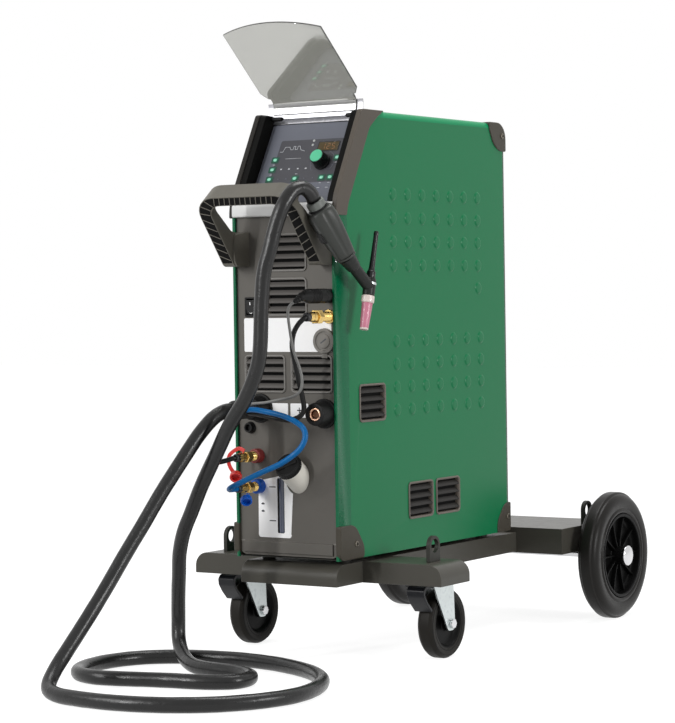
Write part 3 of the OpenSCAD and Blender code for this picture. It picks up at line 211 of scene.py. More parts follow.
def lit(name, rgb, level):
    """A small lamp or lit digit."""
    n, c = Nodes(name), srgb(*rgb)
    col = n.mix(n.noise(300, 2), shade(c, 0.85), shade(c, 1.1))
    return n.set(color=col, rough=0.35, emit=col, emit_level=level)


def metal(name, c, rough=0.25, stretch=None, spots=None):
    """Bare or plated metal; stretch draws the grain out along one axis, spots tint the plating."""
    n = Nodes(name)
    col = n.mix(n.noise(40, 3), shade(c, 0.92), shade(c, 1.08))
    if spots:
        col = n.mix(n.range(n.noise(160, 4), 0, 0.7, 0.52, 0.7), col, spots)
    r = n.range(n.noise(140, 4, stretch=stretch), rough - 0.07, rough + 0.1)
    brushed = n.bump(n.noise(700, 3, stretch=stretch), 0.00002)
    return n.set(color=col, rough=r, metal=1.0, normal=brushed)


def rubber(name, rgb, rough=0.6, drift=0.15, dust=0.2, spec=0.5):
    """Matt rubber with a little dust in its grain."""
    n, c = Nodes(name), srgb(*rgb)
    col = n.mix(n.noise(25, 4), shade(c, 1 - drift), shade(c, 1 + drift))
    specks = n.range(n.noise(60, 6, 0.65), 0, dust, 0.52, 0.76)
    col = n.mix(specks, col, shade(c, 1.9))
    r = n.range(n.noise(110, 4), rough - 0.08, rough + 0.1)
    grained = n.bump(n.noise(1400, 3), 0.00008)
    return n.set(color=col, rough=r, normal=grained, spec=spec)


def leather(name, rgb):
    """Sleeve leather: fine grain, long creases and rubbed, shiny ridges."""
    n, c = Nodes(name), srgb(*rgb)
    col = n.mix(n.noise(18, 4), shade(c, 0.75), shade(c, 1.3))
    rub = n.range(n.noise(34, 5, 0.6), 0, 0.4, 0.5, 0.72)
    col = n.mix(rub, col, shade(c, 2.2))
    grain = n.bump(n.noise(1100, 4), 0.00012)
    crease = n.bump(n.noise(75, 3, distort=1.2), 0.0006, after=grain)
    r = n.range(n.noise(80, 4), 0.2, 0.4)
    return n.set(color=col, rough=r, normal=crease, spec=0.3, coat=0.12, coat_rough=0.2)


def smoked():
    """Smoked acrylic: lets light through, with a strong shine on its lower face."""
    n = Nodes("smoked_acrylic")
    tint = n.mix(n.noise(8, 2), srgb(150, 150, 143), srgb(158, 158, 151))
    r = n.range(n.noise(40, 3, stretch=(0.2, 1, 1)), 0.03, 0.08)
    return n.set(color=tint, rough=r, trans=1.0, ior=2.6, spec=0.5)


MAT = dict(
    green=paint("green_coat", (14, 114, 70), 0.3, 700, 0.00003, drift=0.02, dust=0, spec=0.18),
    # darker green for the front band and the rear fold: painted shade and dark reflection
    green_painted_shade=paint("green_painted_shade_coat", (0, 98, 62), 0.26, 700, 0.00003, 0.05, drift=0.02, dust=0),
    # brighter green for the top and its folds: painted light where the top catches the lamps
    green_painted_light=paint("green_painted_light_coat", (0, 134, 84), 0.3, 700, 0.00003, drift=0.02, dust=0, spec=0.15),
    trim=paint("trim_coat", (84, 78, 71)),
    # near-black copy of the trim paint for the left trim: painted shade
    trim_dark=paint("trim_painted_shade_coat", (38, 36, 33), spec=0.15),
    bracket=paint("bracket_coat", (64, 60, 52), 0.4),
    trolley=paint("trolley_coat", (70, 68, 62), 0.32, spec=0.22),
    panel=paint("panel_coat", (94, 91, 86), spec=0.22),
    panel_light=paint("panel_light_coat", (118, 115, 110), drift=0.03, spec=0.25),
    # near-white ledge paint: painted highlight where the panel's top ledge catches light
    lip=paint("lip_painted_highlight_coat", (222, 222, 221), 0.38, depth=0.00005, drift=0.02, dust=0.05, spec=0.3),
    rear=paint("rear_coat", (78, 75, 72), 0.5, depth=0.00007, drift=0.05, spec=0.5),
    iron_dark=paint("eye_coat", (50, 50, 46), 0.45, depth=0.00008, drift=0.05, spec=0.18),
    iron=paint("motor_paint", (88, 92, 100), 0.45, 900, drift=0.05, spec=0.5),
    steel=metal("sheet_steel", (0.5, 0.5, 0.5), 0.35, (1, 0.08, 1)),
    chrome=metal("chrome_steel", (0.62, 0.62, 0.63), 0.16),
    rail=metal("rail_steel", (0.36, 0.36, 0.38), 0.34, (0.06, 1, 1), spots=(0.55, 0.55, 0.57)),
    zinc=metal("zinc_plate", (0.56, 0.6, 0.6), 0.34, spots=(0.42, 0.46, 0.47)),
    brass=metal("brass_turned", (0.66, 0.46, 0.16), 0.22),
    rose_gold=metal("bush_brass", (0.8, 0.5, 0.34), 0.25),
    umber=metal("dark_bush", (0.12, 0.06, 0.035), 0.4),
    alu=metal("extruded_alu", (0.55, 0.56, 0.58), 0.4, (1, 0.05, 1)),
    screw=metal("dark_screw", (0.16, 0.145, 0.12), 0.36),
    copper=metal("lacquered_copper", (0.5, 0.22, 0.08), 0.3),
    black=plastic("black_plastic", (22, 22, 22), 0.42, spec=0.15),
    black_gloss=plastic("black_gloss_plastic", (20, 20, 21), 0.28, spec=0.25, coat=0.1),
    hood=plastic("hood_plastic", (14, 14, 13), 0.5, 1600, 0.00008, spec=0.06),
    # black for pocket linings, the sheets behind the louvres and the handle's inset: painted shade in
    # recesses
    void=plastic("painted_shade_black", (14, 14, 14), 0.8, spec=0.1),
    ink=plastic("print_ink", (44, 46, 50), 0.5),
    mark=plastic("print_white", (205, 208, 212), 0.5),
    blade=plastic("blade_plastic", (84, 81, 78), 0.5, spec=0.3),
    louvre_rim=plastic("rim_grey_plastic", (112, 109, 105), 0.42),
    side_blade=plastic("side_blade_plastic", (40, 38, 36), 0.5, spec=0.2),
    side_rim=plastic("side_rim_plastic", (96, 88, 80), 0.45),
    handle=plastic("handle_plastic", (100, 97, 89), 0.46, 1500, 0.00006, spec=0.25),
    handle_rib=plastic("handle_rib_plastic", (112, 108, 100), 0.42, spec=0.25),
    foil=plastic("panel_foil", (96, 99, 109), 0.5, 4000, 0.00002, drift=0.03),
    foil_dark=plastic("foil_print", (60, 60, 66), 0.5, 4000, 0.00002, drift=0.04),
    bezel=plastic("key_bezel", (18, 70, 54), 0.45),
    key_dark=plastic("key_plastic", (30, 120, 88), 0.4),
    mint=plastic("mint_plastic", (150, 226, 196), 0.35),
    cap_green=plastic("cap_plastic", (84, 196, 150), 0.35),
    amber=plastic("display_glass", (84, 72, 50), 0.3, spec=0.1),
    digit=lit("display_digit", (150, 104, 60), 0.06),
    lamp_green=lit("lamp_on", (60, 220, 120), 0.6),
    lamp_dim=plastic("lamp_off", (190, 194, 192), 0.3),
    label=plastic("label_film", (250, 250, 250), 0.42, 3000, 0.00001, drift=0.0, spec=0.3),
    sight=plastic("sight_tube", (48, 58, 84), 0.16, coat=0.5),
    tank=plastic("tank_plastic", (226, 226, 216), 0.35, drift=0.04),
    neck_white=plastic("neck_plastic", (236, 232, 222), 0.36, drift=0.02, spec=0.3),
    board=plastic("circuit_board", (20, 90, 50), 0.35),
    tyre=rubber("tyre_rubber", (22, 20, 18), 0.34, spec=0.18, dust=0.08),
    caster_tread=rubber("caster_rubber", (32, 30, 27), 0.46, spec=0.12, dust=0.1),
    rim=plastic("rim_plastic", (12, 12, 12), 0.4, spec=0.08),
    pedal=plastic("pedal_plastic", (20, 21, 25), 0.34, spec=0.22),
    grip=rubber("grip_rubber", (52, 54, 51), 0.38, dust=0.06, spec=0.3),
    grip_light=rubber("tail_rubber", (96, 100, 96), 0.45, dust=0.1),
    neck=rubber("neck_rubber", (30, 32, 30), 0.36, dust=0.06, spec=0.2),
    boot=rubber("boot_rubber", (44, 44, 44), 0.45, spec=0.2),
    leather=leather("sleeve_leather", (17, 17, 17)),
    blue=rubber("blue_hose_rubber", (0, 96, 158), 0.24, drift=0.06, dust=0.0, spec=0.15),
    blue_cap=plastic("blue_cap_plastic", (0, 86, 190), 0.38, spec=0.3),
    hose=rubber("black_hose_rubber", (14, 14, 14), 0.34, spec=0.2),
    collar=rubber("collar_rubber", (26, 26, 28), 0.4),
    red=plastic("red_plastic", (206, 44, 40), 0.38),
    dark_red=plastic("dark_red_plastic", (122, 36, 34), 0.45),
    grey=rubber("grey_cable_pvc", (112, 112, 110), 0.42, dust=0.1),
    pink=plastic("pink_ceramic", (196, 118, 140), 0.36, 1800, 0.00003, coat=0.2),
    porcelain=plastic("pale_ceramic", (222, 206, 200), 0.34, coat=0.2),
    smoke_edge=plastic("acrylic_edge", (70, 70, 66), 0.3, spec=0.3),
    smoke=smoked(),
)
BODY = {n: b for b, ns in frame["record"]["behaviour"]["bodies"].items() for n in ns}


# ------------------------------------------------------------------ mesh helpers
def link(me, name, mat, body="machine"):
    """Put a mesh in the scene with its materials, on the body that it rides on."""
    ob = bpy.data.objects.new(name, me)
    collection().objects.link(ob)
    for key in (mat if isinstance(mat, list) else [mat]):
        me.materials.append(MAT[key])
    me.polygons.foreach_set("use_smooth", [True] * len(me.polygons))
    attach(ob, body)
    return ob


def mesh(name, verts, faces):
    me = bpy.data.meshes.new(name)
    me.from_pydata([tuple(v) for v in verts], [], faces)
    me.update()
    return me


# ------------------------------------------------------------------ cords
def catmull(pts, steps):
    """A smooth line through the points, with so many steps between two of them."""
    out = []
    k = len(pts) - 1
    for i in range(k):
        p0, p1, p2, p3 = pts[max(i - 1, 0)], pts[i], pts[i + 1], pts[min(i + 2, k)]
        for j in range(steps):
            t = j / steps
            out.append(0.5 * (2 * p1 + (p2 - p0) * t + (2 * p0 - 5 * p1 + 4 * p2 - p3) * t * t
                              + (3 * p1 - p0 - 3 * p2 + p3) * t ** 3))
    out.append(pts[-1].copy())
    return out


def frames_along(path):
    """Tangent, side and up vectors carried along a path without twist."""
    n = len(path)
    out = []
    side = None
    for i in range(n):
        h = (path[min(i + 1, n - 1)] - path[max(i - 1, 0)]).normalized()
        if side is None:
            side = Vector((1, 0, 0)) if abs(h.z) > 0.8 else Vector((0, 0, 1))
        side = (side - h * side.dot(h)).normalized()
        out.append((h, side, h.cross(side)))
    return out


def resample(path, step):
    """The same path with points at even steps."""
    out = [path[0].copy()]
    left = step
    for a, b in zip(path, path[1:]):
        seg = (b - a).length
        done = 0.0
        while seg - done >= left:
            done += left
            out.append(a.lerp(b, done / seg))
            left = step
        left -= seg - done
    if (out[-1] - path[-1]).length > step * 0.4:
        out.append(path[-1].copy())
    else:
        out[-1] = path[-1].copy()
    return out


def tube_mesh(name, path, radius, sides=20):
    """A closed tube; radius is a number or a function of (distance along, angle, index)."""
    verts, faces = [], []
    run = 0.0
    for i, (p, (h, u, v)) in enumerate(zip(path, frames_along(path))):
        if i:
            run += (p - path[i - 1]).length
        for j in range(sides):
            a = 2 * pi * j / sides
            r = radius(run, a, i) if callable(radius) else radius
            verts.append(p + (u * math.cos(a) + v * math.sin(a)) * r)
    n = len(path)
    for i in range(n - 1):
        for j in range(sides):
            k = (j + 1) % sides
            faces.append((i * sides + j, i * sides + k, (i + 1) * sides + k, (i + 1) * sides + j))
    faces.append(tuple(range(sides - 1, -1, -1)))
    faces.append(tuple((n - 1) * sides + j for j in range(sides)))
    return mesh(name, verts, faces)


HOSE = [
    (-56, -80, 452), (-56, -107, 451), (-60, -135, 440), (-69, -166, 412), (-82, -200, 368),
    (-98, -235, 318), (-112, -270, 266), (-124, -306, 217), (-134, -345, 166), (-141, -386, 120),
    (-146, -428, 78), (-147, -468, 42), (-134, -500, 20), (-100, -520, 14), (-50, -532, 13.6),
    (10, -536, 13.6), (75, -527, 13.6), (138, -502, 13.6), (192, -460, 13.6), (231, -398, 13.6),
    (245, -328, 13.6), (228, -250, 13.6), (188, -182, 13.6), (126, -128, 13.6), (42, -88, 13.6),
    (-42, -72, 13.6), (-108, -76, 13.6), (-172, -94, 13.6), (-225, -135, 13.6), (-250, -200, 13.6),
    (-244, -272, 13.6), (-212, -326, 13.6), (-160, -347, 13.6), (-100, -336, 13.6), (-38, -318, 13.6),
    (30, -305, 13.6), (78, -276, 13.6), (76, -226, 13.6), (32, -198, 13.6), (-28, -188, 13.6),
    (-82, -170, 14), (-126, -140, 23), (-156, -114, 46), (-161, -108, 84), (-153, -118, 124),
    (-142, -130, 165), (-131, -142, 204), (-115, -150, 243), (-95, -152, 281), (-71, -154, 327),
    (-42, -154, 377), (-10, -154, 432), (22, -155, 474), (46, -156, 519), (57, -157, 560),
    (62, -158, 633), (68, -158, 690), (79, -153, 735), (88, -145, 778), (97, -137, 807),
    (105, -120, 830), (112, -101, 835), (117.5, -86, 826), (119.5, -78, 813)]
BLUE = [
    (-39, -64, 452), (-22, -66, 453), (5, -69, 450), (40, -71, 444), (68, -73, 435),
    (88, -75, 423), (94, -78, 407), (88, -84, 389), (72, -90, 374), (48, -93, 360),
    (14, -96, 346), (-20, -99, 331), (-44, -101, 320), (-58, -92, 314), (-60, -76, 313),
    (-60, -58, 313)]
RED = [
    (-56, -68, 435), (-57, -74, 424), (-63, -86, 405), (-74, -98, 383), (-84, -101, 368),
    (-85, -90, 361), (-75, -78, 363), (-64, -70, 367), (-62, -58, 367)]
GAS = [
    (94, -62, 614), (92, -72, 612), (82, -76, 602), (70, -74, 585), (63, -68, 562),
    (62, -58, 534), (64, -50, 502), (66, -42, 472), (66, -39, 452), (58, -43, 440),
    (42, -51, 435), (24, -55, 437), (0, -57, 441), (-24, -56, 445), (-40, -56, 447)]
CABLE = [
    (84, -92, 640), (76, -95, 632), (73, -94, 617), (76, -90, 578), (81, -88, 552),
    (88, -85, 530), (92, -82, 508), (86, -79, 488), (68, -77, 477), (38, -75, 471),
    (8, -74, 466), (-16, -73, 464), (-41, -72, 460)]


def sleeve(run, a, i):
    """Radius of the leather sleeve: soft folds and a slightly flat section."""
    p = Vector((math.cos(a) * 2.2, math.sin(a) * 2.2, run * 38))
    fold = noise.noise(p) * 0.5 + noise.noise(p * 2.3) * 0.25
    flat = math.cos(2 * a + 0.6 * math.sin(run * 3))
    return (12.7 + 0.5 * fold + 0.25 * flat) * MM


def cord(name, pts, d, node, mat, radius=None, sides=16, step=None, **kw):
    """A cord of diameter d along a smooth line through points given in mm."""
    path = resample(catmull([V(p) for p in pts], 8), (step or d * 0.5) * MM)
    ob = link(tube_mesh(name, path, radius or d / 2 * MM, sides), name, mat)
    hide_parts(node)
    return ob


cord("hose_sleeve", HOSE, 27, "hose_package", "leather", sleeve, 24, 7,
     far_end="object", stiffness="limp", lay="loose")
cord("blue_coolant_hose", BLUE, 10, "blue_hose", "blue", far_end="object", stiffness="medium", lay="hanging",
     with_pieces=["torch_plug"])
cord("red_coolant_hose", RED, 9, "red_hose", "hose", far_end="object", stiffness="medium", lay="hanging")
cord("gas_hose_tube", GAS, 9, "gas_hose", "hose", far_end="object", stiffness="medium", lay="hanging")
cord("control_cable_tube", CABLE, 5, "control_cable", "grey", far_end="object", stiffness="medium",
     lay="hanging", with_pieces=["control_plug"])


# ------------------------------------------------------------------ modelling helpers
ID = Matrix.Identity(4)


def frame_m(o, x, y):
    """Matrix of a local frame at o with its X and Y directions."""
    x, y = Vector(x).normalized(), Vector(y).normalized()
    m = Matrix((x, y, x.cross(y))).transposed().to_4x4()
    m.translation = Vector(o)
    return m


def face(x, z, y=6.0):
    return frame_m((x, y, z), (1, 0, 0), (0, 0, 1))


def side(s, y, z, x=112.0):
    return frame_m((s * x, y, z), (0, s, 0), (0, 0, 1))


def aim(p, v):
    v = Vector(v).normalized()
    return (Matrix.Translation(p) @ Matrix.Rotation(math.atan2(v.y, v.x), 4, "Z")
            @ Matrix.Rotation(math.acos(v.z), 4, "Y"))


TILT = math.radians(60.3)
PANEL = frame_m((0, 20, 800), (1, 0, 0), (0, math.cos(TILT), math.sin(TILT)))
NECK_TILT = math.radians(35)
NECK_X, NECK_Z = 21.3, 331
NECK = frame_m((NECK_X, 6, NECK_Z), (1, 0, 0), (0, math.sin(NECK_TILT), math.cos(NECK_TILT)))
ACROSS = frame_m((0, 0, 0), (0, 1, 0), (0, 0, 1))      # local X, Y = y, z of the casing; extrusion along x


def make(name, bm, m=ID, mat=None, body="machine", node=None, bevel=0.0, segs=2, crease=32, closed=True,
         sub=0):
    """Finish a bmesh drawn in mm in a local frame: weld, bevel sharp edges, shade, place."""
    lim = math.radians(crease)
    bmesh.ops.remove_doubles(bm, verts=bm.verts, dist=1e-3)
    if closed:
        bmesh.ops.recalc_face_normals(bm, faces=bm.faces)
    if bevel:
        es = [e for e in bm.edges if len(e.link_faces) == 2 and e.calc_face_angle(0) > lim]
        bmesh.ops.bevel(bm, geom=es, offset=bevel, segments=segs, profile=0.5, affect="EDGES",
                        clamp_overlap=True)
    for e in bm.edges:
        e.smooth = not (len(e.link_faces) == 2 and e.calc_face_angle(0) > lim)
    me = bpy.data.meshes.new(name)
    bm.to_mesh(me)
    bm.free()
    me.transform(Matrix.Scale(MM, 4) @ Matrix.Translation((0, FY, 0)) @ m)
    if m.determinant() < 0:
        me.flip_normals()
    ob = link(me, name, mat, body)
    if sub:
        ob.modifiers.new("smooth", "SUBSURF").levels = sub
        ob.modifiers["smooth"].render_levels = sub
    if bevel:
        ob.modifiers.new("normals", "WEIGHTED_NORMAL").keep_sharp = True
    if node:
        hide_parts(node)
    return ob


def on(node):
    """The body that a moving node belongs to, and the node that the piece takes over."""
    return {"body": BODY[node], "node": node}


def rounded(pts, rs, n=6):
    """An outline with its corners rounded by one radius, or by one for each corner."""
    k = len(pts)
    rs = rs if isinstance(rs, (list, tuple)) else [rs] * k
    out = []
    for i in range(k):
        a, b, c = (Vector(pts[(i + j) % k]) for j in (-1, 0, 1))
        if rs[i] <= 0:
            out.append(b)
            continue
        u, v = (a - b).normalized(), (c - b).normalized()
        h = u.angle(v) / 2
        mid = b + (u + v).normalized() * (rs[i] / math.sin(h))
        s = b + u * (rs[i] / math.tan(h)) - mid
        e = b + v * (rs[i] / math.tan(h)) - mid
        a0 = math.atan2(s.y, s.x)
        turn = (math.atan2(e.y, e.x) - a0 + 3 * pi) % (2 * pi) - pi
        out += [mid + rs[i] * Vector((math.cos(a0 + turn * j / n), math.sin(a0 + turn * j / n)))
                for j in range(n + 1)]
    return out


def rect(x0, y0, x1, y1, r=0.0, n=5):
    return rounded([(x0, y0), (x1, y0), (x1, y1), (x0, y1)], r, n)


def disc(r, n=32, cx=0.0, cy=0.0):
    turn = 2 * pi / n
    return [Vector((cx + r * math.cos(turn * i), cy + r * math.sin(turn * i))) for i in range(n)]


def inside(p, poly):
    hit = False
    for a, b in zip(poly, poly[1:] + poly[:1]):
        if (a[1] > p[1]) != (b[1] > p[1]) and p[0] < (b[0] - a[0]) * (p[1] - a[1]) / (b[1] - a[1]) + a[0]:
            hit = not hit
    return hit


def net(outline, holes=(), extra=(), lines=()):
    """Triangles of a plane outline with holes, extra points and fold lines."""
    pts, edges = [], []
    for loop in [outline, *holes]:
        k = len(pts)
        pts += [Vector(p).to_2d() for p in loop]
        edges += [(k + i, k + (i + 1) % len(loop)) for i in range(len(loop))]
    for line in lines:
        k = len(pts)
        pts += [Vector(p).to_2d() for p in line]
        edges += [(k + i, k + i + 1) for i in range(len(line) - 1)]
    pts += [Vector(p) for p in extra]
    vs, _, fs = geometry.delaunay_2d_cdt(pts, edges, [], 1, 1e-4)[:3]
    out = []
    for f in fs:
        c = sum((vs[i] for i in f), Vector((0, 0))) / len(f)
        if inside(c, outline) and not any(inside(c, h) for h in holes):
            out.append(f)
    return vs, out


def slab(pts, z0, z1, holes=(), bm=None):
    """An outline (counter-clockwise) extruded from z0 to z1, with holes cut through."""
    bm = bm or bmesh.new()
    if not holes:
        lo = [bm.verts.new((p[0], p[1], z0)) for p in pts]
        hi = [bm.verts.new((p[0], p[1], z1)) for p in pts]
        bm.faces.new(lo[::-1])
        bm.faces.new(hi)
        for i in range(len(pts)):
            j = (i + 1) % len(pts)
            bm.faces.new((lo[i], lo[j], hi[j], hi[i]))
        return bm
    vs, fs = net(pts, holes)
    lo = [bm.verts.new((v[0], v[1], z0)) for v in vs]
    hi = [bm.verts.new((v[0], v[1], z1)) for v in vs]
    for f in fs:
        bm.faces.new([lo[i] for i in f][::-1])
        bm.faces.new([hi[i] for i in f])
    bm.edges.ensure_lookup_table()
    index = {v: i for i, v in enumerate(lo)}
    rim = [e for e in bm.edges if len(e.link_faces) == 1 and e.verts[0] in index and e.verts[1] in index]
    for e in rim:
        a, b = (index[v] for v in e.verts)
        bm.faces.new((lo[a], lo[b], hi[b], hi[a]))
    bmesh.ops.dissolve_limit(bm, angle_limit=0.01, verts=bm.verts, edges=bm.edges)
    return bm


def lathe(prof, seg=48, f=None):
    """A profile of (radius, height) turned about local Z; f(angle, height) adds to the radius."""
    bm = bmesh.new()
    rings = []
    for r, h in prof:
        if r < 1e-6:
            rings.append([bm.verts.new((0, 0, h))])
        else:
            rings.append([bm.verts.new(((r + (f(a, h) if f else 0)) * math.cos(a),
                                        (r + (f(a, h) if f else 0)) * math.sin(a), h))
                          for a in (2 * pi * j / seg for j in range(seg))])
    for A, B in zip(rings, rings[1:]):
        for j in range(seg):
            k = (j + 1) % seg
            q = []
            for v in (A[j % len(A)], A[k % len(A)], B[k % len(B)], B[j % len(B)]):
                if v not in q:
                    q.append(v)
            if len(q) > 2:
                bm.faces.new(q)
    return bm


def turned(name, m, mat, prof, seg=48, f=None, **kw):
    """A piece that is turned about the local Z of m."""
    return make(name, lathe(prof, seg, f), m, mat, **kw)


def loft(rows, seg=56, groove=()):
    """Rounded-box sections (height, half x, half y, exponent) joined along local Z.

    The groove is a list of places round the section that lie deeper along the grip."""
    bm = bmesh.new()
    rings = []
    for h, a, b, e in rows:
        ring = []
        for j in range(seg):
            t = 2 * pi * j / seg
            c, s = math.cos(t), math.sin(t)
            k = (abs(c) ** e + abs(s) ** e) ** (-1 / e)
            k *= 1 - (0.045 if j in groove and 20 < h < 112 else 0)
            ring.append(bm.verts.new((a * c * k, b * s * k, h)))
        rings.append(ring)
    for A, B in zip(rings, rings[1:]):
        for j in range(seg):
            k = (j + 1) % seg
            bm.faces.new((A[j], A[k], B[k], B[j]))
    bm.faces.new(rings[0][::-1])
    bm.faces.new(rings[-1])
    return bm


def grid(bm, rows, loop=False):
    """Quads between rows of points; loop also joins the end of each row to its start."""
    vs = [[bm.verts.new(p) for p in r] for r in rows]
    for A, B in zip(vs, vs[1:]):
        for j in range(len(A) - (0 if loop else 1)):
            k = (j + 1) % len(A)
            bm.faces.new((A[j], A[k], B[k], B[j]))


def refine(node, mat, bevel=0.8, body="machine", segs=2, move=None):
    """A finer copy of a CAD node: flat faces joined again and every sharp edge rounded."""
    src = frame["nodes"][node]
    bm = bmesh.new()
    bm.from_mesh(src.data)
    bm.transform(src.matrix_world)
    bmesh.ops.remove_doubles(bm, verts=bm.verts, dist=1e-5)
    for v in bm.verts:
        if move:
            v.co = move(v.co)
    bmesh.ops.dissolve_limit(bm, angle_limit=math.radians(0.6), verts=bm.verts, edges=bm.edges)
    lim = math.radians(30)
    es = [e for e in bm.edges if len(e.link_faces) == 2 and e.calc_face_angle(0) > lim]
    bmesh.ops.bevel(bm, geom=es, offset=bevel * MM, segments=segs, profile=0.5, affect="EDGES",
                    clamp_overlap=True)
    for e in bm.edges:
        e.smooth = not (len(e.link_faces) == 2 and e.calc_face_angle(0) > math.radians(48))
    me = bpy.data.meshes.new(node + "_fine")
    bm.to_mesh(me)
    bm.free()
    ob = link(me, node + "_fine", mat, body)
    ob.modifiers.new("normals", "WEIGHTED_NORMAL").keep_sharp = True
    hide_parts(node)
    return ob


# ------------------------------------------------------------------ casing
def arc(cx, cy, r, a0, a1, n):
    return [Vector((cx + r * math.cos(math.radians(a0 + (a1 - a0) * i / n)),
                    cy + r * math.sin(math.radians(a0 + (a1 - a0) * i / n)))) for i in range(n + 1)]


HALF_W = 112.0                        # half width of the casing
LOW_Z, TOP_Z, BACK_Y = 186.0, 980.0, 612.0
SHEET_Y = 2.0                         # front edge of the side sheets
LIP_Z = 791.0                         # the front folds end here, below the panel lip
SLOPE_Z, SLOPE_RUN = 817.0, 88.0      # foot of the sloped front and its depth
SLOPE_RISE, SLOPE_LEN = 163.0, 185.2
TOP_FRONT = 163.3                     # front end of the top sheet
TOP_R = 32.0                          # bend of the top sheet at the rear
FOLD = 12.0                           # radius of the long folds
BAND, BAND_LEAN = 37.0, 0.085         # width of the shallow bend along the front, and its lean
VENTS_SIDE = [(112, 459), (275, 274), (373, 274)]
DIMPLES = ([(192 + i * 51.3, 832 - j * 43) for i in range(7) for j in range(4)]
           + [(198 + i * 51.3, 566 - j * 41.5) for i in range(7) for j in range(4)]
           + [(192 + 6 * 51.3, 660)])
DIMPLE_RINGS = [(11.6, 0), (11.1, 0.3), (10.1, 1.15), (9.0, 1.6), (7.6, 1.8)]     # (radius, height)


def from_front(y, z):
    """Distance behind the front edge or the slope, whichever is nearer."""
    return min(y, (y * SLOPE_RISE - (z - SLOPE_Z) * SLOPE_RUN) / SLOPE_LEN)


def band_in(y, z):
    """How far the front band of the side sheet leans in."""
    return BAND_LEAN * max(0.0, BAND - from_front(y, z))


def dimple_height(v):
    for y, z in DIMPLES:
        d = math.hypot(v[0] - y, v[1] - z)
        if d < 13:
            return next((h for r, h in DIMPLE_RINGS[::-1] if d <= r + 0.05), 0.0)
    return 0.0


def side_sheets(bm):
    """Both side sheets with their vents, dimples, front folds and rear folds."""
    outline = (rounded([(SHEET_Y, LOW_Z), (SHEET_Y, SLOPE_Z), (90, TOP_Z), (TOP_FRONT, TOP_Z)],
                       [0, 90, 10, 0], 10)
               + [Vector((TOP_FRONT, TOP_Z - FOLD))] + arc(580, 948, TOP_R - FOLD, 90, 0, 10)
               + [Vector((BACK_Y - FOLD, LOW_Z))])
    holes = [rect(y - 42, z - 32, y + 42, z + 32, 6) for y, z in VENTS_SIDE]
    extra = []
    for y, z in DIMPLES:
        extra += disc(13.2, 28, y, z)
        for r, _ in DIMPLE_RINGS:
            extra += disc(r, 28, y, z)
        extra.append(Vector((y, z)))
    bend = [(BAND, 187), (BAND, 795), (BAND + 2.5, 812), (BAND + 8, 822), (112, 968), (118, 979)]
    vs, fs = net(outline, holes, extra, [bend])
    hs = [dimple_height(v) for v in vs]
    for s in (1, -1):
        new = [bm.verts.new((s * (HALF_W + h - band_in(v[0], v[1])), v[0], v[1]))
               for v, h in zip(vs, hs)]
        for f in fs:
            bm.faces.new([new[i] for i in (f if s > 0 else f[::-1])])
        # front fold with its return beside the front panel
        rows = []
        for z in (LOW_Z, LIP_Z):
            x = HALF_W - band_in(SHEET_Y, z)
            fold = [(x, SHEET_Y), (x - 0.5, 0.9), (x - 1.6, 0.2), (x - 2.6, 0), (103.5, 0),
                    (103.2, 0.4), (103, 4)]
            rows.append([(s * a, b, z) for a, b in fold])
        grid(bm, rows if s < 0 else rows[::-1])
        # rear fold
        prof = arc(BACK_Y - FOLD, HALF_W - FOLD, FOLD, 90, 0, 6)
        rows = [[(s * q.y, q.x, z) for q in prof] + [(s * 92, BACK_Y, z), (s * 92, 609.5, z)]
                for z in (TOP_Z - TOP_R, LOW_Z)]
        grid(bm, rows if s < 0 else rows[::-1])


def top_sheet(bm):
    """The top with its side folds, bent down at the rear."""
    flat = HALF_W - FOLD
    prof = [(-flat - FOLD * math.cos(a), FOLD - FOLD * math.sin(a))
            for a in (pi / 12 * i for i in range(7))]
    prof += [(-x, d) for x, d in prof[::-1]]
    stations = [(TOP_FRONT, TOP_Z, (0, 1)), (580, TOP_Z, (0, 1))]
    for i in range(1, 11):
        n = (math.sin(pi / 20 * i), math.cos(pi / 20 * i))
        stations.append((580 + TOP_R * n[0], 948 + TOP_R * n[1], n))
    grid(bm, [[(x, y - n[0] * d, z - n[1] * d) for x, d in prof] for y, z, n in stations])


def casing_cover():
    bm = bmesh.new()
    side_sheets(bm)
    top_sheet(bm)
    bmesh.ops.remove_doubles(bm, verts=bm.verts, dist=0.02)
    bmesh.ops.recalc_face_normals(bm, faces=bm.faces)
    probe = max(bm.faces, key=lambda f: f.calc_center_median().x)
    if probe.normal.x < 0:
        bmesh.ops.reverse_faces(bm, faces=bm.faces)
    for f in bm.faces:
        c = f.calc_center_median()
        # faces of the front band and the rear fold take the darker green: painted shade and dark reflection
        if from_front(c.y, c.z) < BAND or c.y > 600 and c.z < 940:
            f.material_index = 1
        # the top and its folds take the brighter green: painted light
        elif c.z > 969 or abs(f.normal.x) < 0.9 and c.z > 900:
            f.material_index = 2
    ob = make("cover_sheet", bm, mat=["green", "green_painted_shade", "green_painted_light"], node="casing_cover",
              closed=False, crease=50)
    th = ob.modifiers.new("sheet", "SOLIDIFY")
    th.thickness, th.offset = 1.4 * MM, -1.0
    ob.modifiers.new("normals", "WEIGHTED_NORMAL").keep_sharp = True


casing_cover()

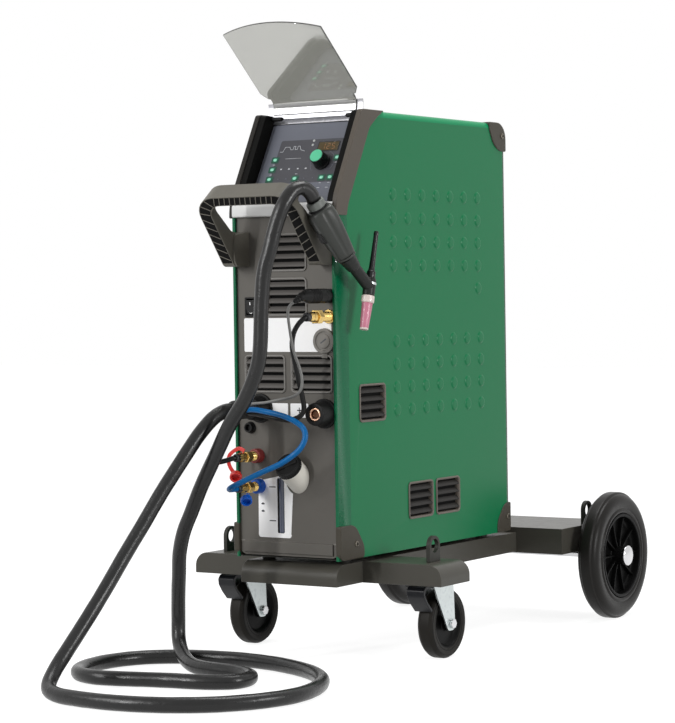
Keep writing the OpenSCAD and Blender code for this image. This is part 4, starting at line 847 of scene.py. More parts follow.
OUTER_X = 114.4                       # outside of the trims and brackets
SCREW = [(0, 0), (5.4, 0), (5.4, 1.1), (4.6, 1.9), (3.2, 2.1), (2.6, 2.1), (2.5, 0.9), (0, 0.9)]
BRACKETS = {                          # outline, corner radii and inner x of each corner bracket
    "rear_top": (rounded([(549, 980.8), (549, 967), (571, 925), (612.8, 925), (612.8, 980.8)][::-1],
                         [32, 3, 46, 10, 3], 9), 96),
    "rear_low": (rounded([(612.8, LOW_Z), (612.8, 242), (590, 242), (561, 207), (561, LOW_Z)],
                         [6, 3, 30, 30, 3], 8), 98),
    "front_low": (rounded([(-1, 186.4), (77, 186.4), (77, 208), (48, 247), (-1, 247)],
                          [13, 6, 34, 30, 3], 8), 103),
}
for s in (1, -1):
    mirror = Matrix.Diagonal((s, 1, 1, 1)) @ ACROSS
    # trim along the slope
    foot, head = Vector((0, SLOPE_Z)), Vector((SLOPE_RUN, TOP_Z))
    off = Vector((SLOPE_RISE, -SLOPE_RUN)) / SLOPE_LEN * 37.5
    pts = rounded([(-0.6, LIP_Z), (-0.6, SLOPE_Z), (87.6, 980.6), (163, 980.6), (141, 969),
                   tuple(head + off - Vector((8, 14))), tuple(foot + off + Vector((6, 11))), (34.5, LIP_Z)],
                  [2, 90, 9, 1, 14, 20, 60, 3], 8)
    # the left trim takes the near-black copy of the trim paint: painted shade
    make("slope_trim_" + ("right" if s > 0 else "left"), slab(pts, 104.5, OUTER_X), mirror,
         "trim" if s > 0 else "trim_dark", node="hood_trims", bevel=1.8, segs=3)
    for tag, (out, x0) in BRACKETS.items():
        make("corner_%s_%s" % (tag, "r" if s > 0 else "l"), slab(out, x0, OUTER_X), mirror, "bracket",
             node="corner_brackets", bevel=2.0, segs=3)
    for y, z in ((598, 955), (601, 215), (50, 213)):
        m = side(s, y, z, OUTER_X)
        turned("bracket_screw_%d_%d" % (s, z + y), m, "screw", SCREW, 24, node="casing_screws")
        make("screw_socket_%d_%d" % (s, z + y), slab(disc(2.45, 6), 0.85, 1.0), m, "black")


# ------------------------------------------------------------------ louvres
def louvre(tag, m, mat, lip):
    """Rounded frame with a raised rim and four slanted blades over a black sheet: painted shade behind the
    blades.
    """
    bm = bmesh.new()
    rim = ((0, -0.6), (0, 1.2), (0.5, 2.1), (1.3, 2.5), (2.4, 2.5), (3.2, 2.0), (3.8, 0.9), (4.4, 0.2),
           (4.6, -7))
    grid(bm, [[(q[0], q[1], h) for q in rect(-44 + d, -34 + d, 44 - d, 34 - d, max(8.5 - d, 2.5), 6)]
              for d, h in rim], loop=True)
    make(tag + "_frame", bm, m, lip, node="louvre_grilles", crease=60, closed=False)
    for i in range(4):
        c = (i - 1.5) * 14.4 + 1.0
        prof = [(c - 5.4, -0.2), (c - 5.0, 0.9), (c - 3.8, 1.5), (c - 2.4, 1.2), (c + 3.6, -4.6),
                (c + 3.2, -5.6), (c - 4.4, -1.0)]
        bm = bmesh.new()
        grid(bm, [[(x, y, z) for y, z in prof] for x in (-40.2, 40.2)], loop=True)
        make("%s_blade_%d" % (tag, i), bm, m, mat, crease=45, closed=False)
    # black sheet behind the blades: painted shade
    make(tag + "_well", slab(rect(-41, -31, 41, 31, 3), -8, -7.4), m, "void")


for i, (x, z) in enumerate([(3, 728), (3, 649.5), (-45, 513), (54, 513)]):
    louvre("front_louvre_%d" % i, face(x, z), "blade", "louvre_rim")
for s in (1, -1):
    for i, (y, z) in enumerate(VENTS_SIDE):
        louvre("side_louvre_%s_%d" % ("r" if s > 0 else "l", i), side(s, y, z), "side_blade", "side_rim")


# ------------------------------------------------------------------ front panel
def tuck(v):
    """Bring the side returns of the panel in behind the bent front edge of the cover."""
    return Vector((math.copysign(0.1065, v.x), v.y, v.z)) if abs(v.x) > 0.1085 else v


refine("front_panel", "panel", 1.0, move=tuck)
# the ledge along the top of the front panel, in the near-white paint: painted highlight
prof = rounded([(10, 815.6), (10, 792), (-2.6, 792), (-2.6, 813.4)], [0, 0, 3.4, 4.5], 6)
bm = bmesh.new()
grid(bm, [[(x, y, z) for y, z in prof] for x in (-106.6, -106.2, -105, 105, 106.2, 106.6)],
     loop=True)
make("panel_lip", bm, mat="lip", node="front_panel", crease=40, closed=False)
# pressed crease above the lower strip
FACE = face(0, 0)
make("lower_crease", slab(rect(-102, 213.6, 102, 216.4, 1.3), -0.3, 0.6), FACE, "panel_light", bevel=0.5)

# x and z of the fittings on the panel
PLUS, MINUS, CONTROL, SERVICE, REMOTE = (80, 444), (-56, 452), (94, 650), (-78, 417), (82.5, 571)


def plate(name, out, z0=0, z1=0.8, mat="label", holes=(), bevel=0.25):
    """Part of the label plates on the front panel."""
    return make(name, slab(out, z0, z1, holes), FACE, mat, node="label_plates", bevel=bevel, segs=1)


plate("label_wide", rect(-89, 552, 97, 612, 3), holes=[disc(22.4, 40, *REMOTE)])
plate("label_low_left", rect(-33, 438, 3, 461, 2))
plate("label_low_right", rect(8, 436, 46, 461, 2))
# the level label is cut away round the filler neck
around_neck = [Vector((NECK_X + 26.6 * math.cos(a), NECK_Z + 32.4 * math.sin(a)))
               for a in (math.radians(t) for t in range(174, 249, 6))]
level_out = (rounded([(-63, 338.5), (-64, 222), (10.5, 222)], 5, 5) + [Vector((10.5, 301))]
             + around_neck[::-1])
plate("level_label", level_out, holes=[rect(-23, 230, -8, 328, 3)])
make("plus_bar_a", slab(rect(22, 447.8, 32, 449.8), 0.8, 0.95), FACE, "ink")
make("plus_bar_b", slab(rect(26, 443.8, 28, 453.8), 0.8, 0.96), FACE, "ink")
for i, z in enumerate((312, 252)):
    plate("level_tick_%d" % i, rect(-40, z - 0.9, -26, z + 0.9), 0.8, 0.95, "ink", bevel=0)
for i, z in enumerate((281, 268)):
    out = rounded([(-59, z), (-54, z + 3), (-48, z), (-54, z - 1.2)], 1, 3)
    plate("level_wave_%d" % i, out, 0.8, 0.95, "ink", bevel=0)
# sight tube in its slot
bm = bmesh.new()
half_turn = [pi * i / 12 for i in range(13)]
grid(bm, [[(-15.5 + 6.6 * math.cos(a), -4.5 + 5.2 * math.sin(a), z) for a in half_turn]
          for z in (231, 327)])
make("sight_tube", bm, frame_m((0, 6, 0), (1, 0, 0), (0, -1, 0)) @ Matrix.Diagonal((1, 1, -1, 1)),
     "sight", closed=False, crease=60)


# ------------------------------------------------------------------ sockets and couplings
def socket(name, xz, prof):
    turned(name, face(*xz), "black", prof, node="panel_sockets", bevel=0.35, crease=35)


OUTER_RING = [(0, 0), (26, 0), (26, 4.2), (25, 5.2), (22.4, 5.2), (22.1, 8), (20.2, 30), (19, 33.4)]
socket("plus_ring", PLUS, OUTER_RING + [(16.6, 34), (13, 34), (12, 32.4), (12, 12), (0, 12)])
turned("plus_bush", face(*PLUS), "rose_gold",
       [(12, 8), (12, 31), (11, 32.2), (9.6, 32.6), (8.2, 32), (7.6, 30), (7.6, 13), (0, 13)], 40,
       node="brass_couplings", bevel=0.3)
turned("plus_core", face(*PLUS), "umber", [(0, 29), (5.9, 29), (6.9, 28), (7.3, 24), (7.3, 12), (0, 12)], 32)
make("plus_key", slab(rect(-1.6, -8.6, 1.6, -5.6, 0.8), 24, 31.5), face(*PLUS), "black", bevel=0.4)
socket("minus_ring", MINUS, OUTER_RING + [(18, 34), (0, 34)])
socket("control_ring", CONTROL,
       [(0, 0), (12.6, 0), (12.6, 2), (11.4, 3), (10.8, 3), (10.8, 12), (0, 12)])
socket("small_ring", SERVICE,
       [(0, 0), (10.5, 0), (10.5, 2.5), (9.4, 3.2), (9, 8.5), (8.2, 10), (6, 10), (5.4, 8.6), (5.4, 3),
        (0, 3)])
turned("cover_ring", face(*REMOTE), "panel_light",
       [(0, 0), (22, 0), (22, 5), (21, 6), (17.2, 6), (16.4, 5.2), (16.1, 3.8), (13, 3.8), (12.6, 5.2),
        (11.8, 5.7), (0, 5.7)], 56, node="panel_sockets", bevel=0.3)
make("cover_slot", slab(rect(-7, -1.2, 7, 1.2, 1.1), 5.7, 5.9),
     face(*REMOTE) @ Matrix.Rotation(0.6, 4, "Z"), "ink")
make("cover_tab", slab(rounded([(-6, -30), (7, -30), (6, -20), (-5, -20)], 2, 4), 0, 3.4),
     face(*REMOTE), "panel_light", node="panel_sockets", bevel=0.8)

# mains rocker in its frame
ROCKER_HOLE = rect(-9, -14.5, 9, 14.5, 1)
make("rocker_frame", slab(rect(-12, -17.5, 12, 17.5, 2), 0, 2.5, [ROCKER_HOLE]), face(-74, 632),
     "black", node="panel_sockets", bevel=0.5)
make("rocker_box", slab(rect(-10, -15.5, 10, 15.5, 1), -22, -0.1, [ROCKER_HOLE]), face(-74, 632),
     "black", node="panel_sockets")
prof = [(-6.5, -13.2), (-7.9, -6), (-8.2, 0), (-7.3, 6), (-6.5, 13.2), (4, 13), (4, -13)]
bm = bmesh.new()
grid(bm, [[(x, y, z) for y, z in prof] for x in (-8.7, 8.7)], loop=True)
for s in (-8.7, 8.7):
    bm.faces.new([bm.verts.new((s, y, z)) for y, z in prof])
ROCK = Matrix.Translation((-74, 11, 632)) @ Matrix.Rotation(math.radians(10), 4, "X")
make("rocker_key", bm, ROCK, "black_gloss", **on("mains_rocker"), bevel=0.7)
make("rocker_mark", slab(rect(-1, 4, 1, 10, 0.4), 7.2, 7.5),
     ROCK @ frame_m((0, 0, 0), (1, 0, 0), (0, 0, 1)), "label", body=BODY["mains_rocker"])
turned("rocker_mark_off", ROCK @ frame_m((0, 0, -7.5), (1, 0, 0), (0, 0, 1)), "label",
       [(3.4, 7.0), (3.4, 7.35), (2.3, 7.35), (2.3, 7.0)], 28, body=BODY["mains_rocker"], closed=False)


def hexes(h0, h1, r):
    """A hexagon nut from h0 to h1 with chamfered corners; r is its corner radius."""
    bm = bmesh.new()
    prof = [(0, h0), (r * 0.9, h0), (r, h0 + 1.4), (r, h1 - 1.4), (r * 0.9, h1), (0, h1)]
    corners = [pi / 3 * i for i in range(6)]
    grid(bm, [[(q * math.cos(a), q * math.sin(a), h) for a in corners] for q, h in prof], loop=True)
    return bm


def coupling(tag, xz, end, r, hexr, base=None):
    """A brass coupling with a ribbed body, a nut, a crimp and perhaps a coloured collar."""
    m = face(*xz)
    prof = [(0, 0), (r + 3.5, 0), (r + 3.5, 5), (r + 2.4, 6), (r, 6)]
    z = 7.0
    while z < end - 38:
        prof += [(r, z), (r - 0.7, z + 0.8), (r, z + 1.6)]
        z += 1.6
    prof += [(r - 1.2, end - 36), (r - 1.2, end - 18), (r, end - 17), (r, end - 14),
             (r - 0.8, end - 13), (r - 0.8, end - 9), (r, end - 8), (r - 1.2, end - 0.8), (r - 2, end),
             (0, end)]
    turned(tag + "_body", m, "brass", prof, 40, node="brass_couplings", bevel=0.2, crease=40)
    make(tag + "_nut", hexes(end - 34, end - 20, hexr), m, "brass", node="brass_couplings", bevel=0.35,
         crease=20)
    if base:
        turned(tag + "_collar", m, base, [(0, 0), (13, 0), (13, 13), (12.2, 15.4), (10.8, 16), (0, 16)], 40,
               node="brass_couplings", bevel=0.4)
    turned(tag + "_crimp", m, "collar", [(0, end - 1), (r - 1.6, end - 1), (r - 1.2, end),
                                         (r - 1.2, end + 7), (r - 2, end + 8.2), (0, end + 8.2)], 32)


coupling("red_coupling", (-62, 367), 64, 8.5, 10.6, "dark_red")
coupling("blue_coupling", (-60, 313), 64, 8.5, 10.6, "blue_cap")
coupling("gas_coupling", (94, 614), 68, 9, 13.4)


def strap(name, pts, half, thick, mat, bevel):
    """A flat strap along a smooth line through pts."""
    line = catmull([V(p) for p in pts], 8)
    section = ((-half, -thick), (half, -thick), (half, thick), (-half, thick))
    bm = bmesh.new()
    grid(bm, [[p + u * a * MM + v * b * MM for a, b in section]
              for p, (h, u, v) in zip(line, frames_along(line))], loop=True)
    bm.transform(Matrix.Translation((0, -FY, 0)) @ Matrix.Scale(1000, 4))
    make(name, bm, mat=mat, bevel=bevel, closed=False)


def cap_knurl(a, h):
    return 0.35 * (math.cos(18 * a) > 0) * (1 < h < 9.5)


# dust caps on their straps beside the coolant couplings
strap("red_strap", [(-62, -38, 378), (-74, -40, 382), (-89, -45, 371), (-88, -50, 357),
                    (-78, -55, 345), (-68, -56, 338)], 3.4, 1, "red", 0.6)
turned("red_cap", aim((-66, -59, 337), (0.35, -0.75, -0.5)), "red",
       [(0, 0), (9.4, 0), (10.4, 1.2), (10.4, 9), (9.6, 10), (7.6, 10), (7, 9), (7, 3), (0, 3)], 36,
       cap_knurl, bevel=0.3)
strap("blue_strap", [(-60, -36, 302), (-52, -40, 300), (-47, -48, 296), (-46, -54, 291)], 3, 0.9,
      "blue_cap", 0.5)
turned("blue_cap_piece", aim((-46, -58, 296), (0.5, -0.6, -0.6)), "blue_cap",
       [(0, 0), (9, 0), (10, 1.2), (10, 9), (9, 10), (7.4, 10), (6.8, 9), (6.8, 3), (0, 3)], 36,
       cap_knurl, bevel=0.3)

# torch plug in the minus socket: a ringed grey boot
prof = [(0, 28), (15.4, 28), (16.6, 29.4)]
for z in range(34, 77, 7):
    prof += [(17, z), (17, z + 4), (15.8, z + 5), (15.8, z + 6)]
prof += [(17, 83), (15, 85.6), (13.4, 86), (0, 86)]
turned("torch_boot", face(*MINUS), "boot", prof, node="torch_plug", bevel=0.5)

# control plug: ribbed boot that bends down into the cable
prof = [(0, 12.4), (11.8, 12.4), (13, 13.6), (13, 22), (12.2, 22.8), (12.2, 24), (13, 24.8), (13, 40)]
for z in range(41, 67, 5):
    prof += [(13, z), (11.6, z + 1), (11.6, z + 3), (12.8, z + 4)]
prof += [(12, 74), (8.4, 84), (7.6, 88), (0, 88)]
turned("control_boot", face(*CONTROL), "black", prof, 40, node="control_plug", bevel=0.4)
a, b = Vector((94, -80, 650)), Vector((84, -92, 640))
turned("control_tail", aim(a, b - a), "black",
       [(0, -3), (6.6, -3), (8, 0), (7.6, 5), (6.2, 6), (6.6, 9), (5.2, 10), (5.4, 13), (4.6, 14),
        (4.4, 17.6), (3, 18.4), (0, 18.4)], 28, node="control_plug", bevel=0.3)

# filler neck and its knurled cap
turned("filler_neck", NECK, "neck_white",
       [(20.5, -24), (23.5, -24), (23.5, 20), (23.2, 21), (22.9, 21.6), (23.5, 22.4), (23.5, 29),
        (22.8, 30), (20.5, 30), (20.5, -24)], 72, node="coolant_tank", bevel=0.4, crease=45)
prof = [(0, 30.5), (23.4, 30.5), (24.4, 31.6), (24.4, 39.6), (23.4, 41.4), (21.6, 42.2), (20.4, 42.2),
        (19.8, 41.2), (19.6, 40.4), (8, 40.4), (7.4, 41.2), (0, 41.5)]
turned("cap_shell", NECK, "black", prof, 128,
       lambda a, h: -0.9 * (0.5 + 0.5 * math.cos(32 * a)) ** 2 * (31.4 < h < 41),
       **on("filler_cap"), bevel=0.3, crease=46)
make("cap_bar", slab(rect(-19.2, -3.8, 19.2, 3.8, 2.5), 40.2, 42.8),
     NECK @ Matrix.Rotation(0.5, 4, "Z"), "black", **on("filler_cap"), bevel=1.0, segs=3)
turned("cap_plug", NECK, "black", [(0, 22.2), (20.4, 22.2), (20.4, 30.6), (0, 30.6)], **on("filler_cap"))


# ------------------------------------------------------------------ control panel
refine("control_hood", "hood", 0.8)
refine("control_foil", "foil", 0.35, segs=1)


def print_on(name, out, mat="ink", h=0.25, z=0.0):
    """A thin print on the foil."""
    make(name, slab(out, z, z + h), PANEL, mat)


def tick_row(tag, s, xs, w=2.2, h=0.9, mat="mark"):
    """A row of short bars at height s up the panel."""
    for i, x in enumerate(xs):
        print_on("%s_%d" % (tag, i), rect(x - w / 2, s - h / 2, x + w / 2, s + h / 2), mat, 0.18, 0.26)


print_on("print_field", rounded([(-62, 60), (83, 60), (83, 151), (-62, 151)], 4, 6), "foil_dark", 0.12)
print_on("display_frame", rect(21, 124, 67, 145, 2), "black_gloss", 0.7, 0.1)
print_on("display_glass", rect(23, 126, 65, 143, 1), "amber", 0.3, 0.75)
# the display's digits: which bars each one lights, and (column, row, lies flat) of each bar
SEGS = {"1": "bc", "2": "abged", "5": "afgcd"}
BARS = {"a": (0, 1, 1), "g": (0, 0.5, 1), "d": (0, 0, 1), "f": (0, 0.5, 0), "b": (1, 0.5, 0),
        "e": (0, 0, 0), "c": (1, 0, 0)}
DIGIT_W, DIGIT_H = 5.6, 11.2
for k, ch in enumerate("125"):
    for s in SEGS[ch]:
        col, row, lies = BARS[s]
        x0, y0 = 31 + k * 10.5 + col * DIGIT_W, 128.8 + row * DIGIT_H
        if lies:
            bar = rect(x0 + 0.5, y0 - 0.55, x0 + DIGIT_W - 0.5, y0 + 0.55)
        else:
            bar = rect(x0 - 0.55, y0 + 0.6, x0 + 0.55, y0 + DIGIT_H / 2 - 0.6)
        print_on("digit_%d_%s" % (k, s), bar, "digit", 0.15, 1.05)
for i, (x, s) in enumerate([(9, 148), (9, 139), (75, 149), (75, 138), (75, 130), (75, 123)]):
    turned("lamp_%d" % i, PANEL @ Matrix.Translation((x, s, 0)), "lamp_green" if i == 2 else "lamp_dim",
           [(2.3, 0.1), (2.3, 0.7), (1.9, 0.8), (1.6, 1.1), (0.9, 1.5), (0, 1.6)], 20, closed=False)
tick_row("mark_upper", 90, [-44, -27, -8, 9], 4, 2.6)
tick_row("mark_faint", 69, [-44, -27, 12, 30], 3.4, 1.8, "foil")
tick_row("mark_lower", 48, [-9, 12, 48, 66], 6, 1.2)
tick_row("mark_mid", 58, [-63, -8, 49, 67], 5, 1.0)
tick_row("mark_side", 79, [-63, -8], 5, 1.0)
tick_row("mark_high", 100, [-63, 70], 5, 1.0)
tick_row("mark_line", 112, [-25], 34, 0.7)

PRINT = (0.26, 0.42)                  # bottom and top of the line prints
curve = [(-58, 127), (-52, 127), (-49, 137), (-40, 137), (-36, 131), (-31, 131), (-31, 138),
         (-27, 138), (-27, 131), (-22, 131), (-22, 138), (-18, 138), (-14, 130), (-5, 127)]
bm = bmesh.new()
for a, b in zip(curve, curve[1:]):
    a, b = Vector(a), Vector(b)
    d = (b - a).normalized() * 0.35
    n = Vector((-d.y, d.x))
    slab([a - d - n, b + d - n, b + d + n, a - d + n], *PRINT, bm=bm)
make("pulse_curve", bm, PANEL, "mark")

KNOB_X, KNOB_S = 41, 101


def round_knob(r, t, w=0.0):
    """A point of the knob's scale at radius r and angle t, w to the side."""
    return Vector((KNOB_X + r * math.sin(t) + w * math.cos(t), KNOB_S + r * math.cos(t) - w * math.sin(t)))


pts = [round_knob(25, math.radians(t)) for t in range(130, -131, -5)]
pts += [round_knob(24, math.radians(t)) for t in range(-130, 131, 5)]
make("knob_scale", slab(pts, *PRINT), PANEL, "foil")
bm = bmesh.new()
for i in range(11):
    t = math.radians(-130 + 26 * i)
    slab([round_knob(r, t, w) for r, w in ((20, -0.4), (20, 0.4), (23.4, 0.4), (23.4, -0.4))], *PRINT, bm=bm)
make("knob_ticks", bm, PANEL, "foil")

for i, (x, s) in enumerate([(-63, 110), (-63, 89.5), (-63, 69), (-8, 69), (49, 69), (67, 69), (70, 110)]):
    m = PANEL @ Matrix.Translation((x, s, 0))
    node = "key_%d" % (i + 1)
    make(node + "_bezel", slab(rect(-8, -6.6, 8, 6.6, 2), 0.1, 0.5, [rect(-5.3, -4.3, 5.3, 4.3, 1.5)]),
         m, "bezel")
    make(node + "_top", slab(rect(-5, -4, 5, 4, 2.2), -2.6, 1.35), m, "key_dark", **on(node), bevel=0.35)
    bm = lathe([(0, 2.15), (1.5, 2.1), (2.7, 1.85), (3.4, 1.4), (3.6, 1.2)], 32)
    bm.transform(Matrix.Diagonal((1.12, 0.86, 1, 1)))
    make(node + "_dome", bm, m, "mint", body=BODY[node], closed=False)

KNOB = PANEL @ Matrix.Translation((KNOB_X, KNOB_S, 0))
knob = BODY["current_knob"]
prof = [(0, 0.4), (15.2, 0.4), (16, 1.2), (16, 3.4), (15.2, 4.2), (14.4, 5), (13.9, 20.6), (12.8, 22.8),
        (11, 23.6), (10.2, 23.6), (10, 22.4), (0, 22.4)]
turned("knob_body", KNOB, "black_gloss", prof, 144,
       lambda a, h: -0.8 * max(0, math.cos(24 * a)) * (5.5 < h < 21.5),
       **on("current_knob"), bevel=0.3, crease=48)
turned("knob_cap", KNOB, "cap_green", [(12.4, 22.2), (12.4, 23.4), (11.6, 24.3), (5, 24.8), (0, 24.9)],
       body=knob, closed=False)
make("knob_line", slab(rect(-0.6, 4, 0.6, 9.2, 0.3), 24.1, 24.5), KNOB @ Matrix.Rotation(0.5, 4, "Z"),
     "mark", body=knob)
turned("knob_stem", KNOB, "chrome", [(0, -8), (3, -8), (3, 0.6), (0, 0.6)], 24, **on("current_knob"))


# ------------------------------------------------------------------ visor
HINGE = Vector((107.3, 972))          # y and z of the visor's hinge
BASE_A, OPEN_A = math.radians(80), math.radians(139.5)     # slopes of its foot and of the raised plate
BEND_R = 18.0                         # radius of the bend between the two
FOOT_W, PLATE_W = 89.2, 104.0         # half widths at the foot and of the plate
PLATE_LEN, TIP_SAG = 170.0, 20.0      # length beside the curved tip, and how far the tip curves out


def direction(a):
    return Vector((math.cos(a), math.sin(a)))


def plate_half(run):
    """Half width of the plate: narrow between the hinges, full above them."""
    return FOOT_W + max(0.0, min(5.8, (run - 5) * 2.9)) + max(0.0, min(9.0, (run - 7) * 0.6))


def visor():
    body = BODY["visor"]
    d0, d1 = direction(BASE_A), direction(OPEN_A)
    n0 = Vector((-d0.y, d0.x))
    mid = HINGE + BEND_R * d0 + BEND_R * n0
    flat = mid + BEND_R * Vector((d1.y, -d1.x))
    # plate: one sheet from the rail, round the bend and up to the curved tip
    line = [HINGE + 8 * d0, HINGE + 13 * d0]
    line += [mid + BEND_R * direction(BASE_A - pi / 2 + (OPEN_A - BASE_A) * i / 8) for i in range(9)]
    rows = [[(FOOT_W * k / 12, c) for k in range(-12, 13)] for c in line]
    tip_r = (PLATE_W ** 2 + TIP_SAG ** 2) / (2 * TIP_SAG)
    for t in [0.01, 0.026, 0.037, 0.06, 0.085, 0.115] + [0.115 + 0.885 * q / 13 for q in range(1, 14)]:
        half = plate_half(t * (PLATE_LEN + TIP_SAG))
        row = []
        for k in range(-12, 13):
            x = PLATE_W * k / 12
            v = t * (PLATE_LEN + math.sqrt(tip_r ** 2 - x ** 2) - (tip_r - TIP_SAG))
            row.append((x * half / PLATE_W, flat + v * d1))
        rows.append(row)
    bm = bmesh.new()
    grid(bm, [[(x, c[0], c[1]) for x, c in r] for r in rows])
    ob = make("visor_plate", bm, mat=["smoke", "smoke_edge"], body=body, node="visor", closed=False,
              crease=70)
    th = ob.modifiers.new("sheet", "SOLIDIFY")
    th.material_offset_rim = 1
    th.thickness, th.offset = 3 * MM, 0.0
    bv = ob.modifiers.new("edge", "BEVEL")
    bv.width, bv.segments, bv.limit_method, bv.angle_limit = 0.7 * MM, 2, "ANGLE", math.radians(50)
    ob.modifiers.new("normals", "WEIGHTED_NORMAL").keep_sharp = True
    # silver rail along the foot of the plate, rolled round the start of the bend
    front = [HINGE + q * d0 - 2.6 * n0 for q in (0.5, 2, 8, 14, 18)]
    back = [HINGE + q * d0 - 1.5 * n0 for q in (0.5, 2, 8, 14, 18)]
    for i in range(1, 8):
        out = direction(BASE_A - pi / 2 + math.radians(4.6 * i))
        front.append(mid + (BEND_R + 2.6) * out)
        back.append(mid + (BEND_R + 1.5) * out)
    bm = bmesh.new()
    grid(bm, [[(x * (1 + 0.00001 * i), p.x, p.y) for i, p in enumerate(front + back[::-1])]
              for x in (-101.8, -101, 101, 101.8)], loop=True)
    make("visor_rail", bm, mat="rail", body=body, node="visor", crease=35, closed=False)
    for s, hand in ((1, "r"), (-1, "l")):
        turned("hinge_barrel_" + hand, aim((s * 70, *HINGE), (s, 0, 0)), "black",
               [(0, 0), (3.6, 0), (4, 0.4), (4, 20.4), (3.6, 20.8), (0, 20.8)], 28,
               body=body, node="visor", bevel=0.3)
        at = HINGE + 8 * d0 - 2.4 * n0
        turned("rail_screw_" + hand, aim((s * 86, *at), (0, -n0.x, -n0.y)), "chrome",
               [(0, 0), (2.8, 0), (2.8, 0.6), (2.2, 1.2), (0, 1.4)], 20, body=body)


visor()
# polished strip on the hood below the visor
make("hood_strip", slab(rect(-100.5, 187, 100.5, 197, 1.2), 0.3, 1.4), PANEL, "rail", bevel=0.4)


# ------------------------------------------------------------------ push handle
refine("push_handle", "handle", 1.6, segs=3)

# local X across and local Y up the lower face of the handle, local Z into it
LOOP = (Matrix.Translation((0, 0, 661.5)) @ Matrix.Rotation(math.radians(128), 4, "X")
        @ Matrix.Diagonal((1, 1, -1, 1)))
REACH = 126 / math.cos(math.radians(52))      # the handle's reach along local Y
POCKET = 0.4                          # depth at which the painted-shade lining of a pocket starts


def shade_lining(name, out, z0, z1):
    """Black lining of a pocket that is open at z0: painted shade in the recess."""
    bm = bmesh.new()
    grid(bm, [[(p[0], p[1], z) for p in out] for z in (z0, z1)], loop=True)
    bm.faces.new([bm.verts.new((p[0], p[1], z1)) for p in out])
    make(name, bm, LOOP, "void", closed=False, crease=40)


for i in range(13):
    x = -66 + 11 * i
    shade_lining("grip_pocket_%d" % i, rect(x - 3.9, REACH - 14.9, x + 3.9, REACH - 3.1), POCKET, 25.8)
for s in (-1, 1):
    for i in range(5):
        v = 76 + 16 * i
        a, b = sorted((s * 83.1, s * 100.9))
        shade_lining("arm_pocket_%d_%d" % (s, i), rect(a, v + 0.1, b, v + 11.9), POCKET, 7.9)


def loop_line(x_foot, r, cx, drop):
    """One edge of the inset round the loop: up an arm, round the corner, mirrored."""
    pts = [Vector((x_foot, 62))] + arc(cx, REACH - drop, r, 0, 90, 10)
    return pts + [Vector((-p.x, p.y)) for p in pts[::-1]]


OUT_R, OUT_X, OUT_DROP = 40.4, 62, 42         # corner of the inset's outer edge
IN_R, IN_X, IN_DROP = 27.6, 54, 44            # and of its inner edge
outer, inner = loop_line(102.4, OUT_R, OUT_X, OUT_DROP), loop_line(81.6, IN_R, IN_X, IN_DROP)
# the inset along the loop's lower face is black: painted shade in the recess round the ribs
bm = bmesh.new()
grid(bm, [[(p.x, p.y, z) for p in edge]
          for edge, z in ((outer, 0.3), (outer, -0.25), (inner, -0.25), (inner, 0.3))])
make("loop_inset", bm, LOOP, "void", closed=False, crease=30)


def rib(name, p, q):
    """A narrow bar from p to q on the lower face of the handle."""
    p, q = Vector(p), Vector(q)
    d = (q - p).normalized()
    n = Vector((-d.y, d.x)) * 0.75
    make(name, slab([p - n, q - n, q + n, p + n], -1, 0.2), LOOP, "handle_rib", bevel=0.3)


for i in range(12):
    x = -60.5 + 11 * i
    rib("grip_rib_%d" % i, (x - 2.5, REACH - 16.4), (x + 2.5, REACH - 1.6))
for s in (-1, 1):
    for i in range(6):
        v = 74 + 16 * i
        rib("arm_rib_%d_%d" % (s, i), (s * 81.8, v - 6), (s * 102.2, v + 5))
    for i, t in enumerate((14, 38, 62)):
        c, q = math.cos(math.radians(t)), math.sin(math.radians(t))
        rib("corner_rib_%d_%d" % (s, i), (s * (IN_X + 27.8 * c), REACH - IN_DROP + 27.8 * q),
            (s * (OUT_X + 40.2 * c), REACH - OUT_DROP + 40.2 * q))

# ------------------------------------------------------------------ torch
TORCH_AT, TORCH_TO = Vector((119.5, -78, 813)), Vector((142, -15, 718))     # along the grip
T_AXIS = (TORCH_TO - TORCH_AT).normalized()
TORCH = aim(TORCH_AT, T_AXIS)
T_END = TORCH_AT + T_AXIS * 118               # where the neck leaves the grip
HEAD = Vector((147, 52, 664))
TIP = Vector((-0.02, -0.23, -0.973)).normalized()
GRIP_ROWS = [(15.8, 16, 15.5, 2.1), (16.4, 19, 18, 2.3), (17.8, 21.6, 20, 2.5), (21, 23.4, 21.4, 2.7),
             (30, 24.4, 22.4, 2.9), (44, 24.2, 22.4, 3.0), (60, 23.2, 21.8, 3.0), (78, 21.4, 20.4, 2.9),
             (95, 19.6, 18.8, 2.8), (106, 18.6, 18, 2.6), (113, 18, 17.4, 2.5), (116.4, 17.2, 16.8, 2.3),
             (117.8, 15.8, 15.6, 2.2)]

# swivel tail with its dark ring, grip and button
turned("torch_tail", TORCH, "grip_light",
       [(0, 0.2), (14.6, 0.2), (15.8, 1.4), (16.3, 4), (16.3, 12.4), (15.6, 13.2), (14.8, 13.4),
        (14.8, 16), (0, 16)], node="torch_handle", bevel=0.4)
turned("torch_ring", TORCH, "black", [(14.8, 13.4), (16.9, 13.6), (17.2, 14.6), (16.9, 15.8), (14.8, 16)],
       node="torch_handle", crease=50)
make("torch_grip", loft(GRIP_ROWS, 72, groove=(17, 18, 19, 53, 54, 55)),
     TORCH @ Matrix.Rotation(0.35, 4, "Z"), "grip", node="torch_handle", crease=42, sub=1)
turned("grip_button", TORCH @ Matrix.Translation((0, 0, 46)) @ Matrix.Rotation(math.radians(-90), 4, "X"),
       "ink", [(0, 21.2), (2.2, 21.6), (2.2, 23), (1.6, 23.4), (0, 23.4)], 20)
